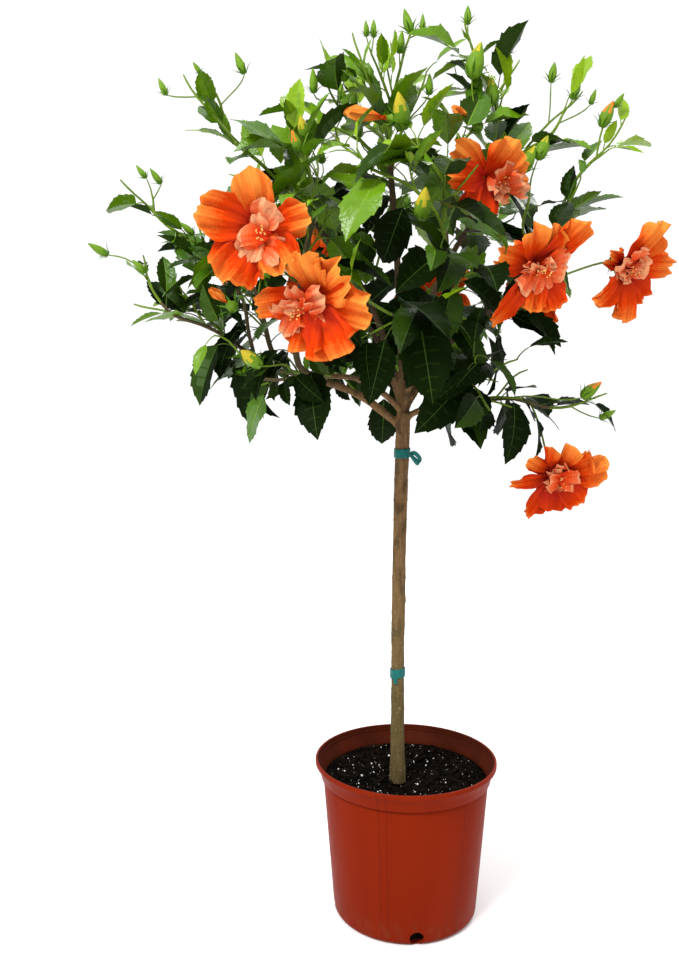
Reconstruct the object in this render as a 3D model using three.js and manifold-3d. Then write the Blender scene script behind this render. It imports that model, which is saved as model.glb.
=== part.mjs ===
// A hibiscus trained as a standard: one clear stem, a round airy crown, and a nursery pot.
// Millimetres, +Z up. The origin is the centre of the pot's flat underside, and -Y is the front.
import * as THREE from "three";
import { mergeVertices } from "three/addons/utils/BufferGeometryUtils.js";
import Module from "manifold-3d";

const wasm = await Module();
wasm.setup();

// ---- Driving dimensions ----
const GAP = 0.35; // clearance left between touching solids
const SOFT_GAP = 0.55; // the same between masses of foliage
const POT = {
  height: 222,
  rimRadius: 129.5,
  bandBottom: 196, // height at which the rim band starts
  bandRadius: 121,
  neckRadius: 118, // wall just under the band
  footRadius: 103,
  cornerRadius: 8,
  wall: 2.5,
  floor: 3,
  segments: 30,
};
const DRAIN = { count: 4, radius: 10, height: 8, firstAngle: -85 };
const SOIL_TOP = 198;
const TRUNK = {
  foot: [-13, -27],
  head: [-6, 0],
  top: 728,
  bow: -3, // sideways bend at half height
  radius: 9.3,
  flare: 3.4, // extra radius at the soil
  flareHeight: 26,
  headSwelling: 1.2,
  sides: 12,
  rings: 12,
};
const TIES = [
  { name: "tie_upper", height: 660, width: 12 },
  { name: "tie_lower", height: 352, width: 9 },
];
const TIE_THICKNESS = 1.4;

// The round crown is built of rings of lobes about its own axis, which stands left of the pot's.
// `half` is a lobe's half size outwards, sideways and upwards, and `lean` tips it to face up.
const CROWN_AXIS = [-30, 0];
const RINGS = [
  {
    name: "skirt",
    lifts: [58, -8, 14, 42, 46, 10, -8], // from the front lobe round: the sides hang lowest
    reach: 178,
    height: 770,
    half: [52, 87, 84],
    lean: -0.25,
    first: -90,
  },
  {
    name: "belt",
    lifts: [0, -6, 4, 8, 0, 4],
    reach: 204,
    height: 900,
    half: [50, 112, 82],
    lean: 0.05,
    first: -65,
  },
  {
    name: "shoulder",
    lifts: [0, 8, 0, -8, 4],
    reach: 150,
    height: 1026,
    half: [50, 98, 78],
    lean: 0.7,
    first: 10,
  },
  {
    name: "cap",
    lifts: [0],
    reach: 0,
    height: 1096,
    half: [44, 92, 78],
    lean: 40,
    first: 0,
  },
];

// Shoots that stand out of the round crown: from a foot inside it to a furthest tip.
const SHOOTS = [
  { name: "left_spray", base: [-244, -75, 866], tip: [-386, -58, 1042], width: 60 },
  { name: "left_bud", base: [-300, -70, 884], tip: [-424, -82, 938], width: 24 },
  { name: "left_drape", base: [-236, -70, 824], tip: [-384, -62, 860], width: 50 },
  { name: "upper_left_shoot", base: [-214, -40, 1026], tip: [-308, -40, 1166], width: 72 },
  { name: "top_left_shoot", base: [-74, -50, 1118], tip: [-62, -36, 1222], width: 46 },
  { name: "top_shoot", base: [-14, -10, 1122], tip: [-2, 0, 1256], width: 38 },
  { name: "top_right_shoot", base: [34, 0, 1088], tip: [84, 0, 1254], width: 40 },
  { name: "high_right_shoot", base: [96, 20, 1070], tip: [152, 30, 1228], width: 44 },
  { name: "right_bud_shoot", base: [140, 10, 1046], tip: [234, 14, 1180], width: 46 },
  { name: "right_shoot", base: [166, -36, 960], tip: [298, -40, 1120], width: 54 },
  { name: "right_bloom", base: [200, -60, 898], tip: [350, -62, 910], width: 64 },
  { name: "low_spray", base: [108, -32, 724], tip: [284, -44, 742], width: 36 },
  { name: "back_left_shoot", base: [-150, 160, 960], tip: [-252, 258, 1090], width: 52 },
  { name: "back_right_shoot", base: [70, 180, 950], tip: [162, 292, 1066], width: 54 },
  { name: "back_top_shoot", base: [-50, 80, 1084], tip: [-84, 118, 1216], width: 46 },
  { name: "back_low_shoot", base: [-60, 200, 800], tip: [-96, 336, 846], width: 48 },
];
const HANGING_BLOOM = {
  name: "hanging_bloom",
  centre: [202, -42, 634],
  half: [72, 50, 66],
  toward: [0.1, 0, -1],
};

// Boughs: the height where each leaves the stem, and the mass it ends in.
const BOUGHS = [
  { name: "bough_left", from: 694, into: "skirt_6", radius: 6.4, lift: 10 },
  { name: "bough_back", from: 704, into: "skirt_4", radius: 5.6, lift: 8 },
  { name: "bough_low_right", from: 711, into: "low_spray", radius: 4.8, lift: 9 },
  { name: "bough_front_left", from: 716, into: "skirt_7", radius: 4.6, lift: 22 },
  { name: "bough_right", from: 718, into: "belt_2", radius: 5.6, lift: 12 },
  { name: "bough_back_left", from: 719, into: "belt_4", radius: 5.4, lift: 20 },
  { name: "bough_front", from: 721, into: "belt_1", radius: 5.2, lift: 16 },
  { name: "bough_upper_right", from: 722, into: "shoulder_1", radius: 5.2, lift: 24 },
  { name: "bough_upper_left", from: 722, into: "shoulder_3", radius: 5.2, lift: 24 },
  { name: "bough_leader", from: 724, into: "cap_1", radius: 6.4, lift: 0 },
];
const BOUGH = { sides: 6, rings: 6, taper: 0.6, upright: 0.12 };

// ---- Small helpers ----
const vec = (p) => new THREE.Vector3(...p);
const radians = THREE.MathUtils.degToRad;

// A repeatable source of numbers from 0 to 1.
function randomFrom(seed) {
  let state = seed * 7919;
  return () => {
    state = (state * 16807 + 11) % 2147483647;
    return state / 2147483647;
  };
}

// A closed geometry as a solid that can be cut and joined.
function solidOf(geometry) {
  geometry.deleteAttribute("normal");
  geometry.deleteAttribute("uv");
  const merged = mergeVertices(geometry, 1e-4);
  const vertProperties = new Float32Array(merged.attributes.position.array);
  const triVerts = new Uint32Array(merged.index.array);
  return new wasm.Manifold(new wasm.Mesh({ numProp: 3, vertProperties, triVerts }));
}

// A cut can leave offcuts: `largest` keeps the main piece, `lowest` the one nearest the ground.
const largest = (solid) => solid.decompose().sort((a, b) => b.volume() - a.volume())[0];
const lowest = (solid) =>
  solid.decompose().sort((a, b) => a.boundingBox().min[2] - b.boundingBox().min[2])[0];

const subtractAll = (solid, tools) => tools.reduce((left, tool) => left.subtract(tool), solid);

// A named mesh of a solid, with its own centre as its place.
function meshOf(name, solid, { color, roughness }) {
  const { numProp, numVert, vertProperties, triVerts } = solid.getMesh();
  const position = new Float32Array(numVert * 3);
  for (let i = 0; i < numVert; i++) {
    position.set(vertProperties.subarray(i * numProp, i * numProp + 3), i * 3);
  }
  const geometry = new THREE.BufferGeometry();
  geometry.setAttribute("position", new THREE.BufferAttribute(position, 3));
  geometry.setIndex(new THREE.BufferAttribute(new Uint32Array(triVerts), 1));
  geometry.computeBoundingBox();
  const centre = geometry.boundingBox.getCenter(new THREE.Vector3());
  geometry.translate(-centre.x, -centre.y, -centre.z);
  geometry.computeVertexNormals();
  const material = new THREE.MeshStandardMaterial({ color, roughness, metalness: 0 });
  const mesh = new THREE.Mesh(geometry, material);
  mesh.name = name;
  mesh.position.copy(centre);
  return mesh;
}

const LOOKS = {
  pot: { color: 0x9c2f18, roughness: 0.45 },
  soil: { color: 0x1c1613, roughness: 0.95 },
  bark: { color: 0x7a5c3e, roughness: 0.85 },
  tie: { color: 0x0f7f72, roughness: 0.4 },
  foliage: { color: 0x2c6418, roughness: 0.5 },
  blossom: { color: 0xf2631c, roughness: 0.6 },
};

// ---- Pot: a thin moulded shell with a rim band, and drain holes round its foot ----
const lathe = (outline) =>
  new THREE.LatheGeometry(
    outline.map(([r, z]) => new THREE.Vector2(r, z)),
    POT.segments,
  ).rotateX(Math.PI / 2);

// The wall's inner face from the floor up to the band, set in by `inset` from the outer face.
function innerWall(inset) {
  const low = POT.footRadius - inset;
  return [
    [low - POT.cornerRadius * 0.7, POT.floor + inset - POT.wall],
    [low, POT.floor + POT.cornerRadius],
    [POT.neckRadius - inset, POT.bandBottom - 4],
  ];
}

function potShell() {
  const corner = [0, 35, 90].map((degrees) => [
    POT.footRadius - POT.cornerRadius * (1 - Math.sin(radians(degrees))),
    POT.cornerRadius * (1 - Math.cos(radians(degrees))),
  ]);
  return solidOf(
    lathe([
      [0, 0],
      ...corner,
      [POT.neckRadius, POT.bandBottom - 1],
      [POT.bandRadius, POT.bandBottom],
      [POT.rimRadius, POT.height - 8],
      [POT.rimRadius, POT.height],
      [POT.rimRadius - POT.wall - 1, POT.height],
      [POT.rimRadius - POT.wall - 2.2, POT.height - 10],
      ...innerWall(POT.wall).reverse(),
      [0, POT.floor],
    ]),
  );
}

function drainHole(index) {
  const angle = radians(DRAIN.firstAngle + (360 / DRAIN.count) * index);
  const hole = new THREE.CylinderGeometry(DRAIN.radius, DRAIN.radius, 26, 12);
  hole.rotateZ(Math.PI / 2 + angle);
  hole.translate(
    POT.footRadius * Math.cos(angle),
    POT.footRadius * Math.sin(angle),
    DRAIN.height,
  );
  return solidOf(hole);
}

function soilSolid() {
  return solidOf(
    lathe([
      [0, POT.floor + GAP],
      ...innerWall(POT.wall + GAP),
      [POT.neckRadius - 6, SOIL_TOP],
      [0, SOIL_TOP],
    ]),
  );
}

// ---- Wood ----
// A tapering limb: rings of corners along a centre line, closed at both ends. `level` keeps the
// rings flat to the ground, and otherwise they stand square to the line.
function limb({ centreAt, radiusAt, sides, rings, level = false }) {
  const centres = Array.from({ length: rings + 1 }, (_, i) => centreAt(i / rings));
  const position = [];
  const index = [];
  let across = new THREE.Vector3(1, 0, 0);
  centres.forEach((centre, i) => {
    const next = centres[Math.min(i + 1, rings)];
    const last = centres[Math.max(i - 1, 0)];
    const along = level ? vec([0, 0, 1]) : next.clone().sub(last).normalize();
    across = across.clone().addScaledVector(along, -across.dot(along)).normalize();
    const side = new THREE.Vector3().crossVectors(along, across);
    const radius = radiusAt(i / rings);
    for (let j = 0; j < sides; j++) {
      const angle = (2 * Math.PI * j) / sides;
      const corner = centre.clone().addScaledVector(across, radius * Math.cos(angle));
      position.push(...corner.addScaledVector(side, radius * Math.sin(angle)));
    }
  });
  for (let i = 0; i < rings; i++) {
    for (let j = 0; j < sides; j++) {
      const a = i * sides + j;
      const b = i * sides + ((j + 1) % sides);
      index.push(a, b, b + sides, a, b + sides, a + sides);
    }
  }
  const top = rings * sides;
  for (let j = 1; j < sides - 1; j++) {
    index.push(0, j + 1, j);
    index.push(top, top + j, top + j + 1);
  }
  const geometry = new THREE.BufferGeometry();
  geometry.setAttribute("position", new THREE.Float32BufferAttribute(position, 3));
  geometry.setIndex(index);
  return solidOf(geometry);
}

// The stem leans and bows slightly between the soil and the fork.
function stemCentre(z) {
  const t = (z - SOIL_TOP) / (TRUNK.top - SOIL_TOP);
  const x = THREE.MathUtils.lerp(TRUNK.foot[0], TRUNK.head[0], t);
  const y = THREE.MathUtils.lerp(TRUNK.foot[1], TRUNK.head[1], t);
  return vec([x + TRUNK.bow * Math.sin(Math.PI * t), y, z]);
}

function stemRadius(z) {
  const t = (z - SOIL_TOP) / (TRUNK.top - SOIL_TOP);
  const flare = TRUNK.flare * Math.exp(-(z - SOIL_TOP) / TRUNK.flareHeight);
  return TRUNK.radius + flare + TRUNK.headSwelling * t ** 6;
}

// A length of the stem, from one height to another, made fatter by `grow`.
function stem(low, high, grow, rings) {
  const heightAt = (t) => low + (high - low) * (rings > 4 ? t ** 1.4 : t);
  return limb({
    centreAt: (t) => stemCentre(heightAt(t)),
    radiusAt: (t) => stemRadius(heightAt(t)) + grow,
    sides: TRUNK.sides,
    rings,
    level: true,
  });
}

function tie({ height, width }) {
  const low = height - width / 2;
  const high = height + width / 2;
  return stem(low, high, GAP + TIE_THICKNESS, 1).subtract(stem(low - 2, high + 2, GAP, 1));
}

// A bough rises steeply from the stem, then turns out to the middle of its mass.
function boughSolid({ from, into, radius, lift }, grow) {
  const start = stemCentre(from);
  const end = vec(masses.find((mass) => mass.name === into).centre);
  const middle = start.clone().lerp(end, 0.45);
  middle.x += (start.x - end.x) * BOUGH.upright;
  middle.y += (start.y - end.y) * BOUGH.upright;
  middle.z += lift;
  const curve = new THREE.CatmullRomCurve3([start, middle, end]);
  return limb({
    centreAt: (t) => curve.getPointAt(t),
    radiusAt: (t) => radius * (1 - (1 - BOUGH.taper) * t) + grow,
    sides: BOUGH.sides,
    rings: BOUGH.rings,
  });
}

// ---- Foliage ----
const LOBE_BALL = new THREE.SphereGeometry(1, 11, 8).rotateZ(-Math.PI / 2);
const SHOOT_BALL = new THREE.SphereGeometry(1, 8, 7).rotateZ(-Math.PI / 2);
const LUMPS = { count: 4, pace: 4.4, faster: 2.6, depth: 0.1, rough: 0.05 };

// A closed uneven solid: a ball stretched to `half` along `toward`, with lumps on its surface.
function massSolid({ ball, centre, half, toward, seed }, grow) {
  const geometry = mergeVertices(ball.clone().deleteAttribute("normal").deleteAttribute("uv"));
  const random = randomFrom(seed);
  const waves = Array.from({ length: LUMPS.count }, (_, k) => ({
    way: vec([random() - 0.5, random() - 0.5, random() - 0.5]).normalize(),
    pace: LUMPS.pace + LUMPS.faster * k,
    phase: 2 * Math.PI * random(),
    depth: LUMPS.depth / (1 + 0.6 * k),
  }));
  const along = vec(toward).normalize();
  const level = Math.abs(along.z) > 0.9 ? vec([1, 0, 0]) : vec([0, 0, 1]);
  const across = new THREE.Vector3().crossVectors(level, along).normalize();
  const up = new THREE.Vector3().crossVectors(along, across);
  const place = new THREE.Matrix4().makeBasis(along, across, up).setPosition(vec(centre));
  const position = geometry.attributes.position;
  const point = new THREE.Vector3();
  for (let i = 0; i < position.count; i++) {
    point.fromBufferAttribute(position, i).normalize();
    const rough = LUMPS.rough * (random() - 0.5);
    const lump = waves.reduce(
      (sum, { way, pace, phase, depth }) => sum + depth * Math.sin(pace * point.dot(way) + phase),
      rough,
    );
    point.multiplyScalar(1 + lump).multiply(vec(half));
    point.setLength(point.length() + grow).applyMatrix4(place);
    position.setXYZ(i, ...point);
  }
  return solidOf(geometry);
}

function ringOfLobes({ name, lifts, reach, height, half, lean, first }, ringIndex) {
  return lifts.map((lift, i) => {
    const angle = radians(first + (360 / lifts.length) * i);
    const out = [Math.cos(angle), Math.sin(angle)];
    return {
      name: `${name}_${i + 1}`,
      ball: LOBE_BALL,
      centre: [CROWN_AXIS[0] + reach * out[0], CROWN_AXIS[1] + reach * out[1], height + lift],
      half,
      toward: [...out, lean],
      seed: 100 + 10 * ringIndex + i,
    };
  });
}

function shootMass({ name, base, tip, width }, index) {
  const reach = vec(tip).sub(vec(base));
  return {
    name,
    ball: SHOOT_BALL,
    centre: vec(base).addScaledVector(reach, 0.5).toArray(),
    half: [reach.length() / 2, width, width * 0.8],
    toward: reach.toArray(),
    seed: 300 + index,
  };
}

const masses = [
  ...RINGS.flatMap(ringOfLobes),
  ...SHOOTS.map(shootMass),
  { ...HANGING_BLOOM, ball: SHOOT_BALL, seed: 61 },
].map((mass) => ({ ...mass, solid: massSolid(mass, 0), clear: massSolid(mass, SOFT_GAP) }));

// ---- Assembly ----
const plant = new THREE.Group();

const holes = Array.from({ length: DRAIN.count }, (_, i) => drainHole(i));
plant.add(meshOf("pot", subtractAll(potShell(), holes), LOOKS.pot));
plant.add(meshOf("soil", soilSolid(), LOOKS.soil));

const trunkRoom = stem(SOIL_TOP - 5, TRUNK.top + GAP, GAP, TRUNK.rings);
plant.add(meshOf("trunk", stem(SOIL_TOP + GAP, TRUNK.top, 0, TRUNK.rings), LOOKS.bark));
for (const size of TIES) plant.add(meshOf(size.name, tie(size), LOOKS.tie));

// Each bough starts at the face of the stem, makes room for the boughs before it, and ends at
// the face of its own mass.
const boughs = [];
for (const size of BOUGHS) {
  const room = [trunkRoom, ...boughs.map((bough) => bough.clear)];
  const free = largest(subtractAll(boughSolid(size, 0), room));
  const { clear } = masses.find((mass) => mass.name === size.into);
  const solid = lowest(free.subtract(clear));
  boughs.push({ ...size, solid, clear: boughSolid(size, GAP) });
  plant.add(meshOf(size.name, solid, LOOKS.bark));
}

// Each mass makes room for the masses before it, and for the wood that runs through it.
masses.forEach((mass, i) => {
  const passing = boughs.filter((bough) => bough.into !== mass.name);
  const room = [...masses.slice(0, i), ...passing].map((other) => other.clear);
  const solid = largest(subtractAll(mass.solid, [...room, trunkRoom]));
  const looks = mass.name.endsWith("bloom") ? LOOKS.blossom : LOOKS.foliage;
  plant.add(meshOf(mass.name, solid, looks));
});

export default plant;
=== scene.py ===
# %% [markdown]
# # A hibiscus standard in its pot
# A standard is a shrub grown on one clear stem with a round head. This lesson dresses a plain
# CAD model of one. The CAD gives the pot, the stem, the boughs and a rough solid for each mass
# of foliage. Here each mass gives way to twigs, leaves, buds and blooms that grow by a rule.

import math

import bpy
import numpy as np
from mathutils.bvhtree import BVHTree
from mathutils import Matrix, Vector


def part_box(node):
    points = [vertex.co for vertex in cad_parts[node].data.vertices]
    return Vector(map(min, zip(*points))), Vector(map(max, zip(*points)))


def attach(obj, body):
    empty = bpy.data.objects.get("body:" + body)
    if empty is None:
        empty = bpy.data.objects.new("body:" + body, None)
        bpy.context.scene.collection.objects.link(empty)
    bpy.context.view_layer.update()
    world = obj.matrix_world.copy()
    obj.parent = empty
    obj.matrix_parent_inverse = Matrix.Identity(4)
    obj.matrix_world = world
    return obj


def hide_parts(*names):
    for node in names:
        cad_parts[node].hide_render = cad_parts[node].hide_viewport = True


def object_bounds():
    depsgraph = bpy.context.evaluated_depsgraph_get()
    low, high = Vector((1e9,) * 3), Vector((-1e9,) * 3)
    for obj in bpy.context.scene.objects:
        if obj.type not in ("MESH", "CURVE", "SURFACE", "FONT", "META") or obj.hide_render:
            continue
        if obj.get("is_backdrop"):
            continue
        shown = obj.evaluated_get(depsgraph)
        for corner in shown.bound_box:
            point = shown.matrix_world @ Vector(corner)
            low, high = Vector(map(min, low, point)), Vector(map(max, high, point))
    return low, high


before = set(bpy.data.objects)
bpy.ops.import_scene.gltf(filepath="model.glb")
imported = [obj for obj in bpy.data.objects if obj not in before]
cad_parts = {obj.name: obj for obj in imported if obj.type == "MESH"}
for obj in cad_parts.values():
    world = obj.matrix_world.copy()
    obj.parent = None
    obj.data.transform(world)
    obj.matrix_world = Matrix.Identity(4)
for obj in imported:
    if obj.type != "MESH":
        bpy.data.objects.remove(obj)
cad_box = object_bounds()
chance = np.random.default_rng(19)
print("CAD box in metres:", cad_box)

# %% [markdown]
# ## Finishes
# A finish is a set of shader nodes. Written out node by node it is long and hard to read, so one
# small class stands for a number that flows between nodes: adding or multiplying two of them adds
# a Math node. Another class holds a material and has one method that adds any other node.


# %% A number on its way between nodes
class Flow:
    """A node's output that can be used in sums."""

    def __init__(self, finish, socket):
        self.finish = finish
        self.socket = socket

    def _sum(self, operation, first, second):
        return self.finish.node("ShaderNodeMath", {"operation": operation}, {0: first, 1: second})

    def __add__(self, other):
        return self._sum("ADD", self, other)

    def __sub__(self, other):
        return self._sum("SUBTRACT", self, other)

    def __rsub__(self, other):
        return self._sum("SUBTRACT", other, self)

    def __mul__(self, other):
        return self._sum("MULTIPLY", self, other)

    __radd__ = __add__
    __rmul__ = __mul__


# %% A material and its nodes
class Finish:
    """A material with a Principled shader. Patterns sit on the piece's own coordinates."""

    def __init__(self, name, **fixed):
        self.material = bpy.data.materials.new(name)
        self.material.use_nodes = True
        self.tree = self.material.node_tree
        self.shader = self.tree.nodes["Principled BSDF"]
        self.place = self.node("ShaderNodeTexCoord", out="Object")
        self.set(**fixed)

    def node(self, kind, settings=None, sockets=None, out=0):
        made = self.tree.nodes.new(kind)
        for key, value in (settings or {}).items():
            setattr(made, key, value)
        for key, value in (sockets or {}).items():
            self._feed(made.inputs[key], value)
        return Flow(self, made.outputs[out])

    def _feed(self, socket, value):
        if isinstance(value, Flow):
            self.tree.links.new(value.socket, socket)
        elif socket.type == "RGBA" and len(value) == 3:
            socket.default_value = (*value, 1)
        else:
            socket.default_value = value

    def set(self, **values):
        for key, value in values.items():
            name = key.replace("_", " ").title().replace("Ior", "IOR")
            self._feed(self.shader.inputs[name], value)

    def noise(self, scale, detail=2.0, stretch=(1, 1, 1), place=None):
        where = self.node(
            "ShaderNodeMapping", {}, {"Vector": place or self.place, "Scale": stretch}
        )
        return self.node(
            "ShaderNodeTexNoise", {}, {"Vector": where, "Scale": scale, "Detail": detail}
        )

    def between(self, flow, low, high):
        """0 below low, 1 above high, and a smooth rise between."""
        return self.node(
            "ShaderNodeMapRange",
            {"interpolation_type": "SMOOTHSTEP"},
            {"Value": flow, "From Min": low, "From Max": high},
        )

    def mix(self, first, second, part):
        return self.node(
            "ShaderNodeMix",
            {"data_type": "RGBA"},
            {"Factor": part, 6: first, 7: second},
            out=2,
        )

    def relief(self, height, depth, strength=1.0):
        """Fine relief, of a depth in metres."""
        bump = self.node(
            "ShaderNodeBump", {}, {"Height": height, "Distance": depth, "Strength": strength}
        )
        self.set(Normal=bump)


def shade(colour, by):
    """The same colour, lighter or darker."""
    return tuple(min(1.0, c * by) for c in colour)


# %% [markdown]
# ## Light, floor and camera
# The plant stands on a plain pale floor under a bright even sky, as in a nursery's studio. A soft
# lamp above the camera's left shoulder gives the leaves their gloss, and a weaker one behind the
# plant keeps its far side from going black.

# %% Set the stage
scene = bpy.context.scene
scene.view_settings.view_transform = "Standard"
sky = bpy.data.worlds.new("studio_sky")
sky.use_nodes = True
sky.node_tree.nodes["Background"].inputs["Color"].default_value = (1, 1, 1, 1)
sky.node_tree.nodes["Background"].inputs["Strength"].default_value = 1.07
scene.world = sky

FLOOR_SIZE = 14
bpy.ops.object.select_all(action="DESELECT")
bpy.ops.mesh.primitive_plane_add(size=FLOOR_SIZE, location=(0, 0, 0))
floor = bpy.context.active_object
floor.name = "studio_floor"
pale = Finish("pale_floor", roughness=0.9)
pale.set(base_color=pale.mix((0.9, 0.9, 0.9), (0.93, 0.93, 0.93), pale.noise(3)))
floor.data.materials.append(pale.material)
floor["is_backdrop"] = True

LAMPS = {
    "key_lamp": {"at": (-1.4, -1.9, 3.1), "size": 1.0, "watts": 105},
    "back_lamp": {"at": (1.4, 2.2, 3.0), "size": 1.0, "watts": 45},
}
CROWN_HEART = np.array([-0.03, 0.0, 0.9])
for lamp_name, lamp_facts in LAMPS.items():
    lamp = bpy.data.lights.new(lamp_name, "AREA")
    lamp.size = lamp_facts["size"]
    lamp.energy = lamp_facts["watts"]
    holder = bpy.data.objects.new(lamp_name, lamp)
    holder.location = lamp_facts["at"]
    aim = Vector(CROWN_HEART) - holder.location
    holder.rotation_euler = aim.to_track_quat("-Z", "Y").to_euler()
    scene.collection.objects.link(holder)

CAMERA_AT = (-0.095, -1.225, 0.733)
CAMERA_DIP = 5.3  # degrees that the camera looks down
LENS = 32.9
camera = bpy.data.cameras.new("camera")
camera.lens = LENS
camera.clip_start = 0.05
viewer = bpy.data.objects.new("camera", camera)
viewer.location = CAMERA_AT
viewer.rotation_euler = (math.radians(90 - CAMERA_DIP), 0, 0)
scene.collection.objects.link(viewer)
scene.camera = viewer
print("camera at", CAMERA_AT, "lamps", list(LAMPS))

# %% [markdown]
# ## The pot
# A nursery pot is a thin moulded shell: a tapering wall, a rounded foot and a rim band that
# flares out so that pots stack. It could be lofted or spun. Here it is turned ring by ring, as on
# a potter's wheel: a disc is extruded to each next radius and height, down the outside, round the
# lip and back down the inside.


# %% Turn an outline round the pot's axis
def turned(name, outline, around=96):
    """A closed shell from (radius, height) steps. The first and last rings get a flat cap."""
    (radius, height), *steps = outline
    bpy.ops.object.select_all(action="DESELECT")
    bpy.ops.mesh.primitive_circle_add(
        vertices=around, radius=radius, fill_type="NGON", location=(0, 0, height)
    )
    piece = bpy.context.active_object
    piece.name = name
    bpy.ops.object.transform_apply(location=True)
    bpy.ops.object.mode_set(mode="EDIT")
    bpy.ops.mesh.select_all(action="SELECT")
    for next_radius, next_height in steps:
        rise = (0, 0, next_height - height)
        bpy.ops.mesh.extrude_region_move(TRANSFORM_OT_translate={"value": rise})
        grow = next_radius / radius
        bpy.ops.transform.resize(value=(grow, grow, 1), center_override=(0, 0, next_height))
        radius, height = next_radius, next_height
    bpy.ops.mesh.select_all(action="DESELECT")
    bpy.ops.mesh.select_non_manifold()
    bpy.ops.mesh.edge_face_add()
    bpy.ops.mesh.select_all(action="SELECT")
    bpy.ops.mesh.normals_make_consistent(inside=False)
    bpy.ops.object.mode_set(mode="OBJECT")
    return piece


# %% Finish a piece
def select_only(piece):
    bpy.ops.object.select_all(action="DESELECT")
    piece.select_set(True)
    bpy.context.view_layer.objects.active = piece


def finish_piece(piece, finishes, replaced=(), angle=30):
    """Give a piece its finishes, its smooth shading and its place in the frame.

    Edges sharper than the angle stay sharp. At 180 degrees none do.
    """
    piece.data.materials.clear()
    for finish in finishes:
        piece.data.materials.append(finish.material)
    select_only(piece)
    if angle < 180:
        bpy.ops.object.shade_smooth_by_angle(angle=math.radians(angle))
    else:
        bpy.ops.object.shade_smooth()
    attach(piece, "root")
    if replaced:
        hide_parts(*replaced)
    print(piece.name, "faces:", len(piece.data.polygons))


# %% Model the pot
POT_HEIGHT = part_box("pot")[1].z
RIM = 0.1295
NECK = 0.118  # wall radius just under the rim band
FOOT = 0.103
WALL = 0.0025
CORNER = 0.008
BAND = 0.196  # height at which the rim band starts


def rounded(radius, height, size, start, stop, steps=4):
    """Points on a quarter round, by its corner's centre and its angles in degrees."""
    angles = np.radians(np.linspace(start, stop, steps))
    return [(radius + size * math.cos(a), height + size * math.sin(a)) for a in angles]


outside = [
    (0.03, 0.0),
    *rounded(FOOT - CORNER, CORNER, CORNER, -90, 0, 6),
    (NECK - 0.0002, BAND - 0.005),
    (NECK - 0.0016, BAND - 0.0018),
    (NECK - 0.0014, BAND - 0.0004),
    *rounded(NECK + 0.0024, BAND + 0.0008, 0.0008, -90, 0, 3),
    (NECK + 0.0046, BAND + 0.008),
    (NECK + 0.0070, BAND + 0.0145),
    (RIM - 0.0024, BAND + 0.0185),
    *rounded(RIM - 0.0012, BAND + 0.0205, 0.0012, -60, 0, 3),
    *rounded(RIM - 0.0014, POT_HEIGHT - 0.0014, 0.0014, 0, 90, 4),
]
inside = [
    *rounded(RIM - 0.0028, POT_HEIGHT - 0.0012, 0.0012, 90, 180, 4),
    (RIM - 0.0046, BAND + 0.0200),
    (RIM - 0.0056, BAND + 0.0190),
    (RIM - 0.0052, BAND + 0.0175),
    (NECK + 0.0028, BAND + 0.009),
    (NECK - 0.0012, BAND + 0.0035),
    (NECK - WALL, BAND - 0.003),
    (FOOT - WALL, 0.003 + CORNER),
    (FOOT - WALL - 0.006, 0.003),
    (0.03, 0.003),
]
pot = turned("moulded_pot", outside + inside, around=128)

# %% [markdown]
# Water leaves the pot through arched holes at the foot. Each is cut with a short cylinder that
# lies across the corner between the wall and the underside.

# %% Cut the drain holes
DRAIN_ANGLES = (-85, 5, 95, 185)
for turn in np.radians(DRAIN_ANGLES):
    bpy.ops.object.select_all(action="DESELECT")
    bpy.ops.mesh.primitive_cylinder_add(
        vertices=40,
        radius=0.0098,
        depth=0.026,
        location=(FOOT * math.cos(turn), FOOT * math.sin(turn), 0.0104),
        rotation=(0, math.pi / 2, turn),
    )
    cutter = bpy.context.active_object
    bpy.context.view_layer.objects.active = pot
    cut = pot.modifiers.new("drain", "BOOLEAN")
    cut.object = cutter
    cut.solver = "EXACT"
    bpy.ops.object.modifier_apply(modifier="drain")
    bpy.data.objects.remove(cutter)

# %% Colour the pot
# The plastic is red-brown and satin, with the mould's upright seams, scuffs and dust near the foot.
plastic = Finish("red_brown_plastic", specular_ior_level=0.03)
height_on_pot = plastic.node("ShaderNodeSeparateXYZ", {}, {0: plastic.place}, out="Z")
round_pot = plastic.node(
    "ShaderNodeMath",
    {"operation": "ARCTAN2"},
    {
        0: plastic.node("ShaderNodeSeparateXYZ", {}, {0: plastic.place}, out="Y"),
        1: plastic.node("ShaderNodeSeparateXYZ", {}, {0: plastic.place}, out="X"),
    },
)
SEAMS = (-1.95, -1.86, -0.89, 1.19, 1.28, 2.25)
seam = 0.0
for seam_angle in SEAMS:
    off = plastic.node("ShaderNodeMath", {"operation": "ABSOLUTE"}, {0: round_pot - seam_angle})
    seam = (1 - plastic.between(off, 0.003, 0.011)) + seam
streak = plastic.noise(26, 3, stretch=(1, 1, 0.06))
scuff = plastic.noise(60, 5, stretch=(1, 1, 0.5))
dust = (1 - plastic.between(height_on_pot, 0.0, 0.05)) * plastic.between(scuff, 0.45, 0.7)
red = plastic.mix((0.150, 0.0095, 0.001), (0.205, 0.0150, 0.002), streak)
red = plastic.mix(red, (0.10, 0.008, 0.003), seam * 0.5)
plastic.set(base_color=plastic.mix(red, (0.16, 0.05, 0.025), dust * 0.4))
plastic.set(roughness=plastic.between(scuff, 0.2, 0.8) * 0.14 + 0.33)
plastic.relief(streak * 0.35 + plastic.noise(420, 2) * 0.15 + seam * 0.5, 0.0006, 0.5)

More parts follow.
